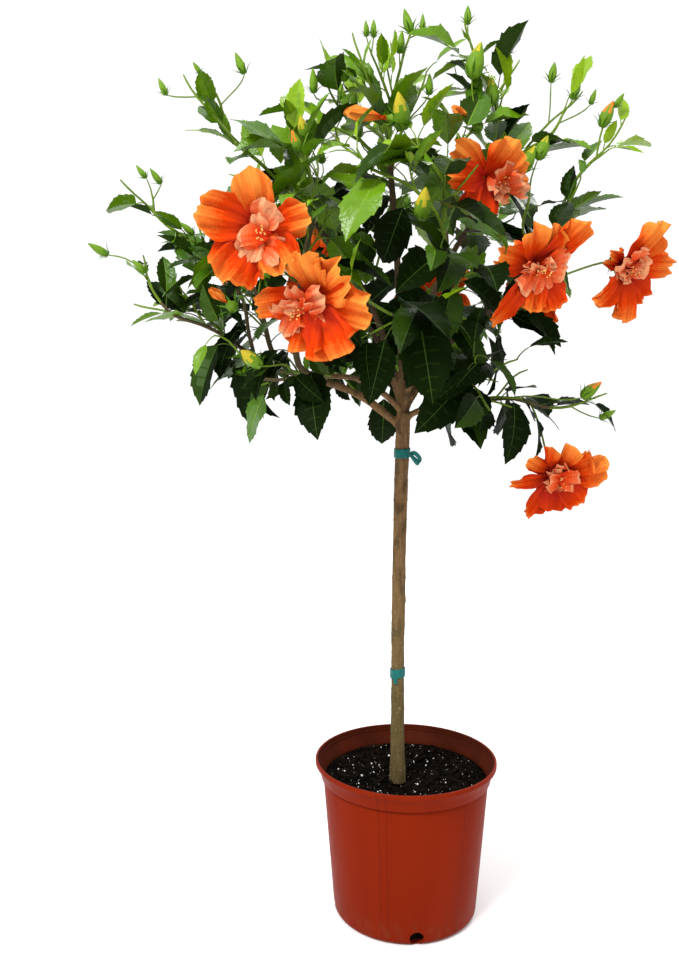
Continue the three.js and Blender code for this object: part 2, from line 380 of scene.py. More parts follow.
# The inside is the same plastic, made darker as painted shade.
inside_painted_shade = Finish("plastic_inside_painted_shade", roughness=0.6, specular_ior_level=0.04)
inside_shade_mottle = inside_painted_shade.noise(40, 3, stretch=(1, 1, 0.4))
inside_painted_shade.set(base_color=inside_painted_shade.mix((0.030, 0.006, 0.002), (0.085, 0.011, 0.003), inside_shade_mottle))
finish_piece(pot, [plastic, inside_painted_shade], ["pot"])
# Faces that look towards the axis, above the bottom, take the inside's painted shade.
for face in pot.data.polygons:
    toward_axis = face.normal.x * face.center.x + face.normal.y * face.center.y < -0.2 * RIM
    if toward_axis and face.center.z > 0.02:
        face.material_index = 1

# %% [markdown]
# ## The compost
# Potting compost is dark, lumpy and flecked with white perlite and chips of bark. Its body is
# turned like the pot and roughened by moving its points. The flecks are small stones, built as
# arrays of corners and faces because there are hundreds of them.


# %% Soft lumps for any set of points
def lumps(points, size, seed):
    """Smooth noise from -1 to 1 at each point, with hills about `size` metres across."""
    grid = np.asarray(points) / size
    cell = np.floor(grid).astype(np.int64)
    part = grid - cell
    part = part * part * (3 - 2 * part)
    total = np.zeros(len(grid))
    for corner in np.ndindex(2, 2, 2):
        at = cell + corner
        mixed = at[:, 0] * 73856093 ^ at[:, 1] * 19349663 ^ at[:, 2] * 83492791 ^ seed * 2654435
        value = ((mixed * 2654435761) % 1000003) / 1000003 * 2 - 1
        weight = np.prod(np.where(corner, part, 1 - part), axis=1)
        total += value * weight
    return total


def points_of(piece):
    flat = np.empty(len(piece.data.vertices) * 3)
    piece.data.vertices.foreach_get("co", flat)
    return flat.reshape(-1, 3)


def move_points(piece, points):
    piece.data.vertices.foreach_set("co", points.ravel())
    piece.data.update()


# %% Model the compost
SOIL_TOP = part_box("soil")[1].z
SOIL_EDGE = NECK - WALL - 0.0006
rings = [(r, SOIL_TOP) for r in np.linspace(SOIL_EDGE - 0.004, 0.004, 56)]
compost = turned(
    "compost",
    [(0.02, 0.0036), (FOOT - 0.011, 0.0036), (FOOT - WALL - 0.0006, 0.013)]
    + [(NECK - WALL - 0.0008, BAND - 0.006), (SOIL_EDGE, SOIL_TOP - 0.003)]
    + rings,
    around=150,
)
soil_points = points_of(compost)
on_top = np.clip((soil_points[:, 2] - SOIL_TOP + 0.0031) / 0.0031, 0, 1)
rough = 0.0022 * lumps(soil_points, 0.016, 1) + 0.0013 * lumps(soil_points, 0.006, 2)
rough = rough + 0.0007 * lumps(soil_points, 0.003, 3) - 0.0012
soil_points[:, 2] += on_top * rough
move_points(compost, soil_points)

peat = Finish("compost_peat", roughness=1.0, specular_ior_level=0.0)
grain = peat.noise(900, 4)
clump = peat.noise(120, 3)
brown = peat.mix((0.002, 0.0018, 0.0015), (0.010, 0.0075, 0.0055), peat.between(clump, 0.35, 0.75))
peat.set(base_color=peat.mix(brown, (0.028, 0.020, 0.014), peat.between(grain, 0.64, 0.76)))
peat.relief(grain + clump, 0.002)
finish_piece(compost, [peat], ["soil"])


# %% [markdown]
# Hundreds of small things are made as one mesh each. A template of corners and faces is written
# once, and every copy is the template turned, scaled and moved by array arithmetic.


# %% Joined meshes from arrays
def unit(vectors):
    return vectors / np.maximum(np.linalg.norm(vectors, axis=-1, keepdims=True), 1e-9)


def joined(name, parts, finishes, replaced=()):
    """One piece from (points, faces, finish numbers) of each part."""
    points, faces, numbers = [], [], []
    count = 0
    for part_points, part_faces, part_numbers in parts:
        points.append(part_points.reshape(-1, 3))
        faces += (np.asarray(part_faces) + count).tolist()
        numbers.append(np.broadcast_to(part_numbers, len(part_faces)))
        count += len(points[-1])
    mesh = bpy.data.meshes.new(name)
    mesh.from_pydata(np.concatenate(points).tolist(), [], faces)
    piece = bpy.data.objects.new(name, mesh)
    scene.collection.objects.link(piece)
    finish_piece(piece, finishes, replaced, angle=180)
    mesh.polygons.foreach_set("material_index", np.concatenate(numbers).astype(np.int32))
    mesh.update()


def copies(template, faces, numbers, axes, places):
    """Every copy of a template: its points times its own axes, at its own place."""
    points = np.einsum("pk,nkj->npj", template, axes) + places[:, None, :]
    step = np.arange(len(places))[:, None, None] * len(template)
    all_faces = (np.asarray(faces)[None] + step).reshape(-1, np.shape(faces)[1])
    return points, all_faces, np.tile(np.broadcast_to(numbers, len(faces)), len(places))


def turned_axes(count, size, flat=(1, 1, 1)):
    """Random turns, as three scaled axes for each of `count` copies."""
    first = unit(chance.normal(size=(count, 3)))
    second = unit(np.cross(first, chance.normal(size=(count, 3))))
    axes = np.stack([first, second, np.cross(first, second)], axis=1)
    return axes * np.asarray(size)[:, None, None] * np.asarray(flat)[None, :, None]


# %% Scatter perlite and bark chips
bpy.ops.object.select_all(action="DESELECT")
bpy.ops.mesh.primitive_ico_sphere_add(subdivisions=1, radius=1)
stone = bpy.context.active_object
stone_points = points_of(stone) * (1 + 0.25 * lumps(points_of(stone), 0.7, 5))[:, None]
stone_faces = [tuple(face.vertices) for face in stone.data.polygons]
bpy.data.objects.remove(stone)


def scatter(count, rise):
    spread = np.sqrt(chance.random(count)) * (SOIL_EDGE - 0.008)
    angle = chance.random(count) * 2 * np.pi
    height = SOIL_TOP + rise + 0.001 * chance.normal(size=count) * 0.5
    return np.stack([spread * np.cos(angle), spread * np.sin(angle), height], axis=1)


white = Finish("perlite", roughness=0.85)
white.set(base_color=white.mix((0.55, 0.53, 0.50), (0.85, 0.84, 0.82), white.noise(300)))
chip = Finish("bark_chip", roughness=0.9, specular_ior_level=0.0)
chip.set(base_color=chip.mix((0.003, 0.002, 0.0015), (0.022, 0.014, 0.009), chip.noise(160, 3)))
PERLITE = 170
CHIPS = 260
CHIP_SHAPE = (1, 0.5, 0.3)
grain_axes = turned_axes(PERLITE, 0.0004 + 0.0014 * chance.random(PERLITE) ** 5)
grains = copies(stone_points, stone_faces, 0, grain_axes, scatter(PERLITE, 0.0002))
joined("perlite_grains", [grains], [white])
chip_axes = turned_axes(CHIPS, 0.002 + 0.003 * chance.random(CHIPS), CHIP_SHAPE)
chips = copies(stone_points, stone_faces, 0, chip_axes, scatter(CHIPS, 0.0))
joined("bark_chips", [chips], [chip])

# %% [markdown]
# ## The wood
# The stem and boughs are in the CAD. Their centre lines are found again by slicing each solid:
# where a slice cuts the solid's edges, the mean of the cuts is a point of the centre line.


# %% Slice a limb
def corners_of(node):
    return np.array([vertex.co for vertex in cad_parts[node].data.vertices])


def slice_limb(node, start, end, count):
    """Centre points and radii of a CAD limb, cut square to the line from start to end."""
    corners = corners_of(node)
    edges = np.array([edge.vertices[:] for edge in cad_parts[node].data.edges])
    along = unit(end - start)
    level = (corners - start) @ along
    span = level.max() - level.min()
    centres, radii = [], []
    for cut_at in level.min() + span * np.linspace(0.03, 0.97, count):
        a, b = level[edges[:, 0]], level[edges[:, 1]]
        crossed = (a - cut_at) * (b - cut_at) < 0
        part = ((cut_at - a) / np.where(crossed, b - a, 1))[crossed][:, None]
        ring = corners[edges[crossed, 0]] * (1 - part) + corners[edges[crossed, 1]] * part
        centres.append(ring.mean(axis=0))
        radii.append(np.linalg.norm(ring - centres[-1], axis=1).mean())
    return np.array(centres), np.array(radii)


def box_of(node):
    return np.array(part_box(node))


# %% Find the lines of the stem and boughs
nodes = list(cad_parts)
bough_names = [name for name in nodes if name.startswith("bough")]
trunk_box = box_of("trunk")
trunk_foot, trunk_head = trunk_box * (0, 0, 1)
trunk_line, trunk_radii = slice_limb("trunk", trunk_foot, trunk_head, 40)
fork = trunk_line[-1]


def bough_line(name):
    """A bough from inside the stem to its free end, as points and radii."""
    corners = corners_of(name)
    near = corners[np.argmin(np.linalg.norm(corners - fork, axis=1))]
    far = corners[np.argmax(np.linalg.norm(corners - near, axis=1))]
    line, radii = slice_limb(name, near, far, 12)
    root = fork * (1, 1, 0) + (0, 0, line[0, 2] - 0.012)
    root[2] = min(root[2], fork[2])
    return np.vstack([root, line]), np.concatenate([[radii[1] * 1.25], radii])


boughs = {name: bough_line(name) for name in bough_names}
for name, (line, radii) in boughs.items():
    print(name, "free end", line[-1].round(3), "radii", radii[1].round(4), radii[-1].round(4))

# %% [markdown]
# ## The growth rule
# Twigs grow to reach targets in the foliage. Each target joins the wood at the point where the
# way out to it is short, counted along the wood as well as through the air. That makes limbs
# fork at narrow angles and fan outwards, as they do when each shoot has grown towards the light.

# %% Start the skeleton
STEP = 0.011  # metres between skeleton points
HOMEWARD = 0.42  # how much the way back along the wood counts
skeleton = {"at": [], "from": [], "way": [], "along": []}


def way_along(line):
    """How far along a line of points each point lies."""
    return np.concatenate([[0], np.cumsum(np.linalg.norm(np.diff(line, axis=0), axis=1))])


def points_at(marks, line):
    """The points that lie these distances along a line."""
    length = way_along(line)
    return np.stack([np.interp(marks, length, line[:, k]) for k in range(3)], axis=1)


def resample(line, step):
    """Even steps along a line of points."""
    length = way_along(line)[-1]
    return points_at(np.linspace(0, length, max(2, int(round(length / step)) + 1)), line)


def add_limb(line, parent):
    """Add a line of points to the skeleton and return their numbers."""
    numbers = []
    for point in line:
        back = skeleton["at"][parent] if parent >= 0 else point - (0, 0, STEP)
        way = skeleton["way"][parent] if parent >= 0 else 0
        skeleton["from"].append(parent)
        skeleton["way"].append(way + np.linalg.norm(point - back))
        skeleton["along"].append(unit(point - back))
        skeleton["at"].append(np.array(point))
        parent = len(skeleton["at"]) - 1
        numbers.append(parent)
    return numbers


trunk_numbers = add_limb(resample(trunk_line[-6:], STEP), -1)
trunk_heights = np.array([skeleton["at"][n][2] for n in trunk_numbers])
bough_numbers = {}
for name, (line, _) in boughs.items():
    start = trunk_numbers[int(np.argmin(abs(trunk_heights - line[0, 2])))]
    bough_numbers[name] = add_limb(resample(line, STEP)[1:], start)
FIRST_FREE = len(trunk_numbers)
print("skeleton points on the boughs:", len(skeleton["at"]))


# %% Grow one twig to a target
def grow(target, heading, wander=0.06, narrow=0.05):
    """Grow from the best place on the wood to a target, ending along a heading."""
    at = np.array(skeleton["at"][FIRST_FREE:])
    way = np.array(skeleton["way"][FIRST_FREE:])
    along = np.array(skeleton["along"][FIRST_FREE:])
    reach = target - at
    distance = np.linalg.norm(reach, axis=1)
    turn = 1 - np.sum(unit(reach) * along, axis=1)
    cost = distance + HOMEWARD * way + narrow * turn + np.where(distance < 0.018, 9, 0)
    best = int(np.argmin(cost))
    start, length = at[best], distance[best]
    out = unit(along[best] * 0.7 + unit(reach[best])) * length * 0.36
    t = np.linspace(0, 1, max(3, int(length / STEP) + 1))[1:, None]
    b, c = start + out, target - unit(heading) * length * 0.34
    line = start * (1 - t) ** 3 + 3 * b * t * (1 - t) ** 2 + 3 * c * t**2 * (1 - t) + target * t**3
    sway = chance.normal(size=3) * wander * length * 0.3
    line = line + sway * np.sin(np.pi * t) ** 2
    return add_limb(line, best + FIRST_FREE), best + FIRST_FREE


# %% [markdown]
# The masses of the CAD say where foliage is and where the sky shows. A tree of their faces
# answers how far any point lies outside of them, which later keeps leaves from straying.

# %% Read the masses
BLOOM_NODES = ("right_bloom", "hanging_bloom")
FIXED_NODES = ("pot", "soil", "trunk", "tie_upper", "tie_lower", *bough_names, *BLOOM_NODES)
mass_names = [name for name in nodes if name not in FIXED_NODES]
ring_names = [n for n in mass_names if n.split("_")[0] in ("skirt", "belt", "shoulder", "cap")]
spray_names = [name for name in mass_names if name not in ring_names]
skins = {}
for name in mass_names:
    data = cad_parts[name].data
    faces = [face.vertices[:] for face in data.polygons]
    skins[name] = BVHTree.FromPolygons([vertex.co for vertex in data.vertices], faces)


def outside_by(points):
    """Metres from each point to the masses: above 0 outside of them all, below 0 inside one."""
    far = []
    for point in points:
        spot = Vector(point)
        least = 1.0
        for skin in skins.values():
            near, look, _, distance = skin.find_nearest(spot)
            least = min(least, math.copysign(distance, (spot - near).dot(look)))
        far.append(least)
    return np.array(far)


def outer_points(name, count):
    """Random points on the face of a mass, with the way that the face looks there."""
    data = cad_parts[name].data
    triangles = np.array([[data.vertices[v].co for v in face.vertices] for face in data.polygons])
    across = np.cross(triangles[:, 1] - triangles[:, 0], triangles[:, 2] - triangles[:, 0])
    area = np.linalg.norm(across, axis=1)
    picked = chance.choice(len(area), size=count, p=area / area.sum())
    weights = chance.dirichlet((1, 1, 1), size=count)
    return np.einsum("nk,nkj->nj", weights, triangles[picked]), unit(across[picked])


def middle(name):
    return box_of(name).mean(axis=0)


print("rings:", len(ring_names), "sprays:", len(spray_names))

# %% [markdown]
# Each mass first gets a limb to its middle. In the round crown, shoots then grow to points a
# little under its outer face, dealt out at random, where one too near to another is passed over.
# A spray that stands out of the crown gets shoots along its length. Last come shoots that fill
# out the crown's edge, and a fringe that hangs lowest.

# %% Deal out the shoots
# Each shoot: its tip, the way out of the crown there, how large its leaves are, how much of its
# length carries leaves, and its kind.
RING_SHOOT, EDGE_SHOOT, FRINGE_SHOOT = 0, 1, 2
RING_SPACING = {"skirt": 0.066, "belt": 0.062, "shoulder": 0.062, "cap": 0.064}
INSET = 0.036  # metres from the face of a mass to the tips of its shoots
SHADED = -0.25  # faces that look further down than this carry no shoots
shoots = []


def add_shoot(tip, out, leaf, leafy, kind):
    shoots.append({"tip": tip, "out": out, "leaf": leaf, "leafy": leafy, "kind": kind})


for name in sorted(mass_names, key=lambda n: np.linalg.norm(middle(n) - fork)):
    grow(middle(name), unit(middle(name) - CROWN_HEART) + (0, 0, 0.3), narrow=0.03)

taken = np.zeros((0, 3))
for name in ring_names:
    for place, look in zip(*outer_points(name, 400)):
        outward = unit(place - CROWN_HEART)
        tip = place - look * INSET
        near = np.linalg.norm(taken - tip, axis=1).min() if len(taken) else 1
        if look @ outward > 0.2 and look[2] > SHADED and near > RING_SPACING[name.split("_")[0]]:
            taken = np.vstack([taken, tip])
            add_shoot(tip, outward, 1.0, 1.0, RING_SHOOT)

# %% Deal out the shoots of the sprays
SPRAY_SPACING = 0.075  # metres along a spray from one shoot to the next
BESIDE = 0.024  # metres from a spray's own line to the shoots beside it
for name in spray_names:
    corners = corners_of(name)
    reach = np.linalg.norm(corners - CROWN_HEART, axis=1)
    foot, far = corners[np.argmin(reach)], corners[np.argmax(reach)]
    length = np.linalg.norm(far - foot)
    leaf = 0.72 if far[0] < -0.2 or far[2] > 0.9 else 0.85
    leafy = 0.45 if far[2] < 0.8 else 0.70
    parts = np.linspace(0.84, 0.34, 1 + int(length / SPRAY_SPACING))
    if name == "left_bud":
        parts = parts[-1:]
    for part in parts:
        aside = unit(np.cross(far - foot, chance.normal(size=3))) * BESIDE * (part < 0.8)
        tip = foot + (far - foot) * part + aside
        add_shoot(tip, unit(far - foot), leaf, leafy, EDGE_SHOOT)

# %% Fill out the edge and the fringe
EDGE_TIPS = [
    (-0.150, -0.020, 1.135),
    (-0.165, -0.050, 1.100),
    (-0.115, -0.050, 1.150),
    (-0.160, -0.080, 1.065),
    (-0.100, -0.090, 1.070),
    (-0.040, -0.020, 1.160),
    (0.020, -0.020, 1.165),
    (0.080, -0.060, 1.085),
    (0.120, -0.020, 1.130),
    (0.140, -0.100, 0.970),
    (0.205, -0.040, 0.985),
    (-0.285, -0.080, 0.905),
    (-0.300, -0.070, 0.875),
    (-0.270, -0.085, 0.930),
    (-0.300, -0.060, 0.945),
]
FRINGE_TIPS = [
    (-0.215, -0.090, 0.765),
    (-0.165, -0.120, 0.765),
    (-0.120, -0.110, 0.760),
    (-0.255, -0.090, 0.815),
    (0.060, -0.060, 0.750),
    (0.085, -0.050, 0.735),
    (0.120, -0.040, 0.735),
    (0.150, -0.050, 0.735),
    (0.060, 0.120, 0.765),
    (-0.110, 0.110, 0.765),
]
for tips, leaf, leafy, kind in (
    (EDGE_TIPS, 0.92, 0.65, EDGE_SHOOT),
    (FRINGE_TIPS, 1.0, 1.1, FRINGE_SHOOT),
):
    for tip in np.array(tips):
        add_shoot(tip, unit(tip - CROWN_HEART), leaf, leafy, kind)

# %% Grow the shoots, the innermost first
# The lower a shoot ends, the more it hangs. Those of the fringe hang wholly.
shoots.sort(key=lambda shoot: np.linalg.norm(shoot["tip"] - CROWN_HEART))
for shoot in shoots:
    shoot["hang"] = np.clip((0.86 - shoot["tip"][2]) / 0.18, 0, 1)
    if shoot["kind"] == FRINGE_SHOOT:
        shoot["hang"] = 1.0
    heading = shoot["out"] + np.array([0, 0, 0.75 - 0.85 * shoot["hang"]])
    shoot["path"], shoot["root"] = grow(shoot["tip"], heading)
print("shoots:", len(shoots), "skeleton points:", len(skeleton["at"]))

# %% [markdown]
# ## Blooms, in place
# The open flowers are the eye of the plant, so each has its own place and faces its own way.
# They are placed before the leaves, which keep clear of them, and each grows a stalk by the same
# rule as a twig. A bloom lasts a day, so the stalks are short and the flowers sit among leaves.

# %% Place the blooms
# A petal's row: its turn (0 right, 90 up, seen face on), length, half width and last lean, in
# degrees and millimetres. "tuft" is how far the inner petals sit right of the middle and above
# it, in metres, and "tone" makes a bloom paler or, below 0, deeper.
BLOOMS = [
    {
        "at": (-0.184, -0.232, 0.926),
        "facing": (-0.06, -1.0, 0.02),
        "petals": [
            (100, 74, 23, 78),
            (169, 84, 27, 84),
            (235, 84, 33, 80),
            (297, 68, 30, 76),
            (13, 62, 22, 92),
        ],
        "tuft": (0.002, -0.010),
    },
    {
        "at": (-0.129, -0.228, 0.844),
        "facing": (-0.48, -1.0, -0.40),
        "petals": [
            (85, 66, 24, 70),
            (31, 70, 29, 76),
            (-14, 88, 28, 84),
            (-64, 82, 34, 80),
            (-112, 74, 29, 84),
            (182, 80, 20, 88),
        ],
        "tuft": (-0.018, -0.012),
    },
    {
        "at": (0.096, -0.118, 1.006),
        "facing": (0.30, -0.85, -0.15),
        "petals": [
            (183, 80, 20, 82),
            (150, 72, 20, 92),
            (62, 62, 24, 76),
            (12, 56, 22, 80),
            (-110, 66, 28, 84),
        ],
        "tone": 0.04,
        "tuft": (0.010, -0.008),
    },
    {
        "at": (0.142, -0.176, 0.884),
        "facing": (0.20, -0.85, -0.45),
        "petals": [
            (166, 60, 20, 94),
            (94, 62, 26, 82),
            (54, 84, 20, 86),
            (-16, 42, 12, 96),
            (-60, 66, 22, 74),
            (-98, 64, 22, 76),
            (-130, 96, 12, 84),
        ],
        "tone": -0.09,
    },
    {
        "at": (0.287, -0.064, 0.902),
        "facing": (0.42, -0.70, -0.36),
        "petals": [
            (70, 78, 24, 92),
            (6, 84, 20, 100),
            (-48, 64, 22, 80),
            (-88, 84, 20, 84),
            (-140, 90, 17, 92),
            (166, 48, 16, 90),
        ],
    },
    {
        "at": (0.203, -0.044, 0.624),
        "facing": (0.12, -0.85, -0.40),
        "petals": [
            (78, 64, 33, 76),
            (24, 78, 26, 90),
            (150, 62, 13, 96),
            (186, 78, 10, 100),
            (236, 76, 15, 86),
            (-98, 58, 26, 68),
            (-46, 60, 26, 68),
        ],
        "tone": -0.18,
    },
    {"at": (-0.130, 0.240, 0.955), "facing": (-0.2, 1.0, 0.2)},
    {"at": (0.060, 0.235, 0.900), "facing": (0.3, 1.0, -0.10)},
    {"at": (-0.255, 0.120, 0.955), "facing": (-1.0, 0.45, 0.0)},
    {"at": (0.205, 0.150, 0.905), "facing": (0.9, 0.5, 0.1)},
]

# %% Grow the stalks of the blooms
FAR_SIZE = 0.94  # the far side's blooms are a little smaller
THROAT = 0.030  # metres from the calyx to the middle of the open flower
for bloom in BLOOMS:
    bloom["size"] = 1.0 if "petals" in bloom else FAR_SIZE
    bloom["facing"] = unit(np.array(bloom["facing"]))
    bloom["at"] = np.array(bloom["at"])
    bloom["base"] = bloom["at"] - bloom["facing"] * THROAT * bloom["size"]
    stalk_end = bloom["base"] - bloom["facing"] * 0.004
    bloom["path"], bloom["root"] = grow(stalk_end, bloom["facing"] + (0, 0, 0.2), 0.02)
print("blooms:", len(BLOOMS))

# %% [markdown]
# ## Buds, in place
# Pointed buds stand clear of the leaves on long thin stalks, most of them over the top and out on
# the sprays. The ones that draw the plant's outline have their own places, by the tip of the bud.
# The far side gets its buds by chance, three to a spray and up to three to an upper mass.

# %% Place the buds
# Each row: where the tip is, the size, and the kind (0 shut, 1 plump, 2 opening yellow, 3 orange).
BUD_TIPS = [
    (-0.416, -0.080, 0.932, 1.0, 0),
    (-0.360, -0.080, 0.911, 0.8, 0),
    (-0.357, -0.060, 1.034, 0.7, 0),
    (-0.339, -0.060, 1.030, 0.8, 0),
    (-0.330, -0.040, 1.149, 0.8, 0),
    (-0.285, -0.040, 1.169, 0.6, 0),
    (-0.230, -0.040, 1.181, 1.0, 0),
    (-0.128, -0.100, 1.140, 1.0, 0),
    (-0.061, -0.030, 1.225, 0.7, 0),
    (-0.050, -0.020, 1.230, 0.8, 0),
    (-0.090, -0.060, 1.166, 1.0, 1),
    (-0.009, 0.000, 1.252, 1.2, 0),
    (-0.012, -0.010, 1.220, 1.0, 0),
    (0.017, 0.010, 1.250, 0.8, 0),
    (0.076, 0.000, 1.256, 0.9, 0),
    (0.085, -0.060, 1.186, 1.6, 1),
    (0.102, -0.040, 1.150, 1.2, 1),
    (0.146, 0.040, 1.233, 0.9, 0),
    (0.198, 0.020, 1.191, 1.0, 0),
    (0.228, 0.000, 1.160, 1.0, 0),
    (0.244, -0.020, 1.142, 0.7, 0),
    (0.261, -0.040, 1.120, 1.2, 3),
    (0.275, -0.040, 1.130, 0.7, 0),
    (0.168, -0.080, 1.065, 1.1, 1),
    (0.150, -0.090, 1.050, 1.2, 1),
    (-0.024, -0.120, 1.105, 1.5, 2),
    (0.020, -0.060, 1.148, 0.9, 0),
    (-0.153, -0.120, 1.060, 0.9, 3),
    (-0.143, -0.110, 1.080, 1.0, 2),
    (-0.209, -0.200, 0.790, 1.2, 2),
    (0.004, -0.190, 0.976, 1.4, 2),
    (0.256, -0.040, 0.757, 1.2, 3),
    (0.276, -0.040, 0.719, 0.9, 0),
    (-0.070, -0.060, 1.095, 0.9, 0),
    (-0.300, -0.070, 0.960, 0.8, 0),
]

# %% Grow the stalks of the buds
BUD_LENGTH = 0.0295
buds = []


def add_bud(tip, size, kind, lift=0.9):
    """A bud with its tip at a place, on a stalk that grows to its foot."""
    heading = unit(unit(tip - CROWN_HEART) + (0, 0, lift) + chance.normal(size=3) * 0.2)
    foot = tip - heading * BUD_LENGTH * size
    path, root = grow(foot, heading, 0.10, narrow=0.02)
    buds.append({"path": path, "root": root, "heading": heading, "size": size, "kind": kind})


for *tip, size, kind in BUD_TIPS:
    add_bud(np.array(tip), size, kind)
for name in spray_names:
    if name.startswith("back"):
        corners = corners_of(name)
        reach = np.linalg.norm(corners - CROWN_HEART, axis=1)
        order = corners[np.argsort(-reach)]
        for tip in order[:: max(1, len(order) // 8)][:3]:
            add_bud(tip, chance.uniform(0.7, 1.1), 0)
BUDS_PER_MASS = {"shoulder": 3, "cap": 3, "belt": 2}
for name in ring_names:
    places, looks = outer_points(name, 60)
    outward = unit(places - CROWN_HEART)
    fit = (looks[:, 2] > -0.1) & (np.sum(looks * outward, axis=1) > 0.6) & (places[:, 1] > 0.02)
    for tip in (places + outward * 0.025)[fit][: BUDS_PER_MASS.get(name.split("_")[0], 0)]:
        add_bud(tip, chance.uniform(0.7, 1.2), int(chance.choice([0, 0, 0, 1, 2, 3])))
print("buds:", len(buds))

# %% [markdown]
# A limb is as thick as it needs to be to feed what it carries. Counting the tips above each
# point of the skeleton gives its radius, as if every tip sent one fine pipe down to the stem.

# %% Thickness of the wood
TIP_RADIUS = 0.0014
PIPE_POWER = 2.3
THICKEST = 0.0046  # radius that no twig passes
BUD_LOAD = 0.45  # a bud's stalk counts as less than half a shoot
at = np.array(skeleton["at"])
parents = np.array(skeleton["from"])
load = np.zeros(len(at))
for number in [s["path"][-1] for s in shoots] + [b["path"][-1] for b in BLOOMS]:
    load[number] += 1
for bud in buds:
    load[bud["path"][-1]] += BUD_LOAD
for number in range(len(at) - 1, -1, -1):
    if parents[number] >= 0:
        load[parents[number]] += load[number]
girth = TIP_RADIUS * np.maximum(load, 0.3) ** (1 / PIPE_POWER)
girth = np.minimum(girth, THICKEST)
print("twig radii from", girth.min().round(5), "to", girth.max().round(5))


# %% Round limbs along lines of points
def tube(line, radii, sides, number=0):
    """A round limb as (points, faces, finish number)."""
    line = np.asarray(line)
    ahead = unit(np.gradient(line, axis=0))
    across = np.empty_like(ahead)
    across[0] = unit(np.cross(ahead[0], (0.31, 0.22, 0.93)))
    for i in range(1, len(line)):
        across[i] = unit(across[i - 1] - ahead[i] * (across[i - 1] @ ahead[i]))
    side = np.cross(ahead, across)
    turn = 2 * np.pi * np.arange(sides) / sides
    ring = np.cos(turn)[None, :, None] * across[:, None]
    ring = ring + np.sin(turn)[None, :, None] * side[:, None]
    points = line[:, None] + ring * np.asarray(radii)[:, None, None]
    row = np.arange(len(line) - 1)[:, None] * sides
    j = np.arange(sides)
    nxt = (j + 1) % sides
    faces = np.stack([row + j, row + nxt, row + sides + nxt, row + sides + j], axis=-1)
    return points, faces.reshape(-1, 4), np.full(faces.shape[0] * sides, number)


# %% [markdown]
# ## Bark on the stem and boughs
# The stem and boughs are one continuous skin, with a smooth crotch where each bough leaves. Round
# limbs are laid along the centre lines and a voxel remesh melts them into one closed mesh, fine
# enough to hold relief. Its points then move in and out for ridges, rings of old leaf scars,
# breathing pores and a few knots.


# %% Lay the round limbs
def fine(line, radii, step=0.004):
    """The same limb with closer points, rounded through its bends."""
    length = way_along(line)
    marks = np.arange(0, length[-1], step)
    close = points_at(marks, line)
    for _ in range(4):
        close[1:-1] = (close[:-2] + 2 * close[1:-1] + close[2:]) / 4
    return close, np.interp(marks, length, radii)


def capped(points, faces, sides):
    """Close both ends of a limb with a fan of triangles, as corner and face lists."""
    flat = points.reshape(-1, 3)
    last = len(flat) - sides
    extra = np.vstack([points[0].mean(axis=0), points[-1].mean(axis=0)])
    low = [(len(flat), (n + 1) % sides, n) for n in range(sides)]
    high = [(len(flat) + 1, last + n, last + (n + 1) % sides) for n in range(sides)]
    return np.vstack([flat, extra]), faces.tolist() + low + high


stem_root = trunk_line[0] * (1, 1, 0) + (0, 0, trunk_box[0, 2] - 0.002)
stem_line = np.vstack([stem_root, trunk_line, fork + (0, 0, 0.006)])
stem_radii = np.concatenate([[trunk_radii[0] * 1.02], trunk_radii, [trunk_radii[-1] * 0.8]])
limbs = [(stem_line, stem_radii, 32)]
for line, radii in boughs.values():
    ends = np.vstack([line, line[-1] + unit(line[-1] - line[-2]) * 0.010])
    limbs.append((ends, np.concatenate([radii, [radii[-1] * 0.92]]), 16))
corners, faces = [], []
for line, radii, sides in limbs:
    close, thick = fine(line, radii)
    points, quads, _ = tube(close, thick, sides)
    flat, closed = capped(points, quads, sides)
    shift = sum(len(part) for part in corners)
    faces += [tuple(int(v) + shift for v in face) for face in closed]
    corners.append(flat)

# %% Melt them into one skin
mesh = bpy.data.meshes.new("bark_skin")
mesh.from_pydata(np.vstack(corners).tolist(), [], faces)
bark = bpy.data.objects.new("bark_skin", mesh)
scene.collection.objects.link(bark)
select_only(bark)
mesh.remesh_voxel_size = 0.00135
bpy.ops.object.voxel_remesh()
settle = bark.modifiers.new("settle", "SMOOTH")
settle.iterations = 6
settle.factor = 0.6
bpy.ops.object.modifier_apply(modifier="settle")


# %% Raise the bark's relief
def bark_relief(points):
    """How far each point of the skin moves out, in metres."""
    ridge = lumps(points * (1, 1, 0.16), 0.0028, 11) * 0.00026
    swell = lumps(points, 0.016, 12) * 0.00045
    ring_height = points[:, 2] + 0.0015 * lumps(points, 0.02, 13)
    pace = 0.026 + 0.004 * lumps(points * (0, 0, 1), 0.11, 14)
    scar = np.exp(-(((ring_height % pace) - pace / 2) ** 2) / (2 * 0.0009**2)) * 0.0005
    return ridge + swell + scar


# Each knot: its height, and how far round the stem it sits in radians.
KNOTS = [(0.612, -1.25), (0.571, -2.2), (0.505, -1.4), (0.455, -0.4), (0.405, -1.9), (0.300, -1.1)]
skin_points = points_of(bark)
normals = np.empty(len(skin_points) * 3)
bark.data.vertices.foreach_get("normal", normals)
move = bark_relief(skin_points)
for knot_height, knot_turn in KNOTS:
    heart = trunk_line[int(np.argmin(abs(trunk_line[:, 2] - knot_height)))]
    way = np.array([math.cos(knot_turn), math.sin(knot_turn), 0])
    knot = heart * (1, 1, 0) + (0, 0, knot_height) + way * 0.0095
    away = np.linalg.norm((skin_points - knot) * (1, 1, 0.8), axis=1)
    move += 0.0017 * np.exp(-((away / 0.0042) ** 2)) - 0.0012 * np.exp(-((away / 0.0016) ** 2))
move_points(bark, skin_points + normals.reshape(-1, 3) * move[:, None])
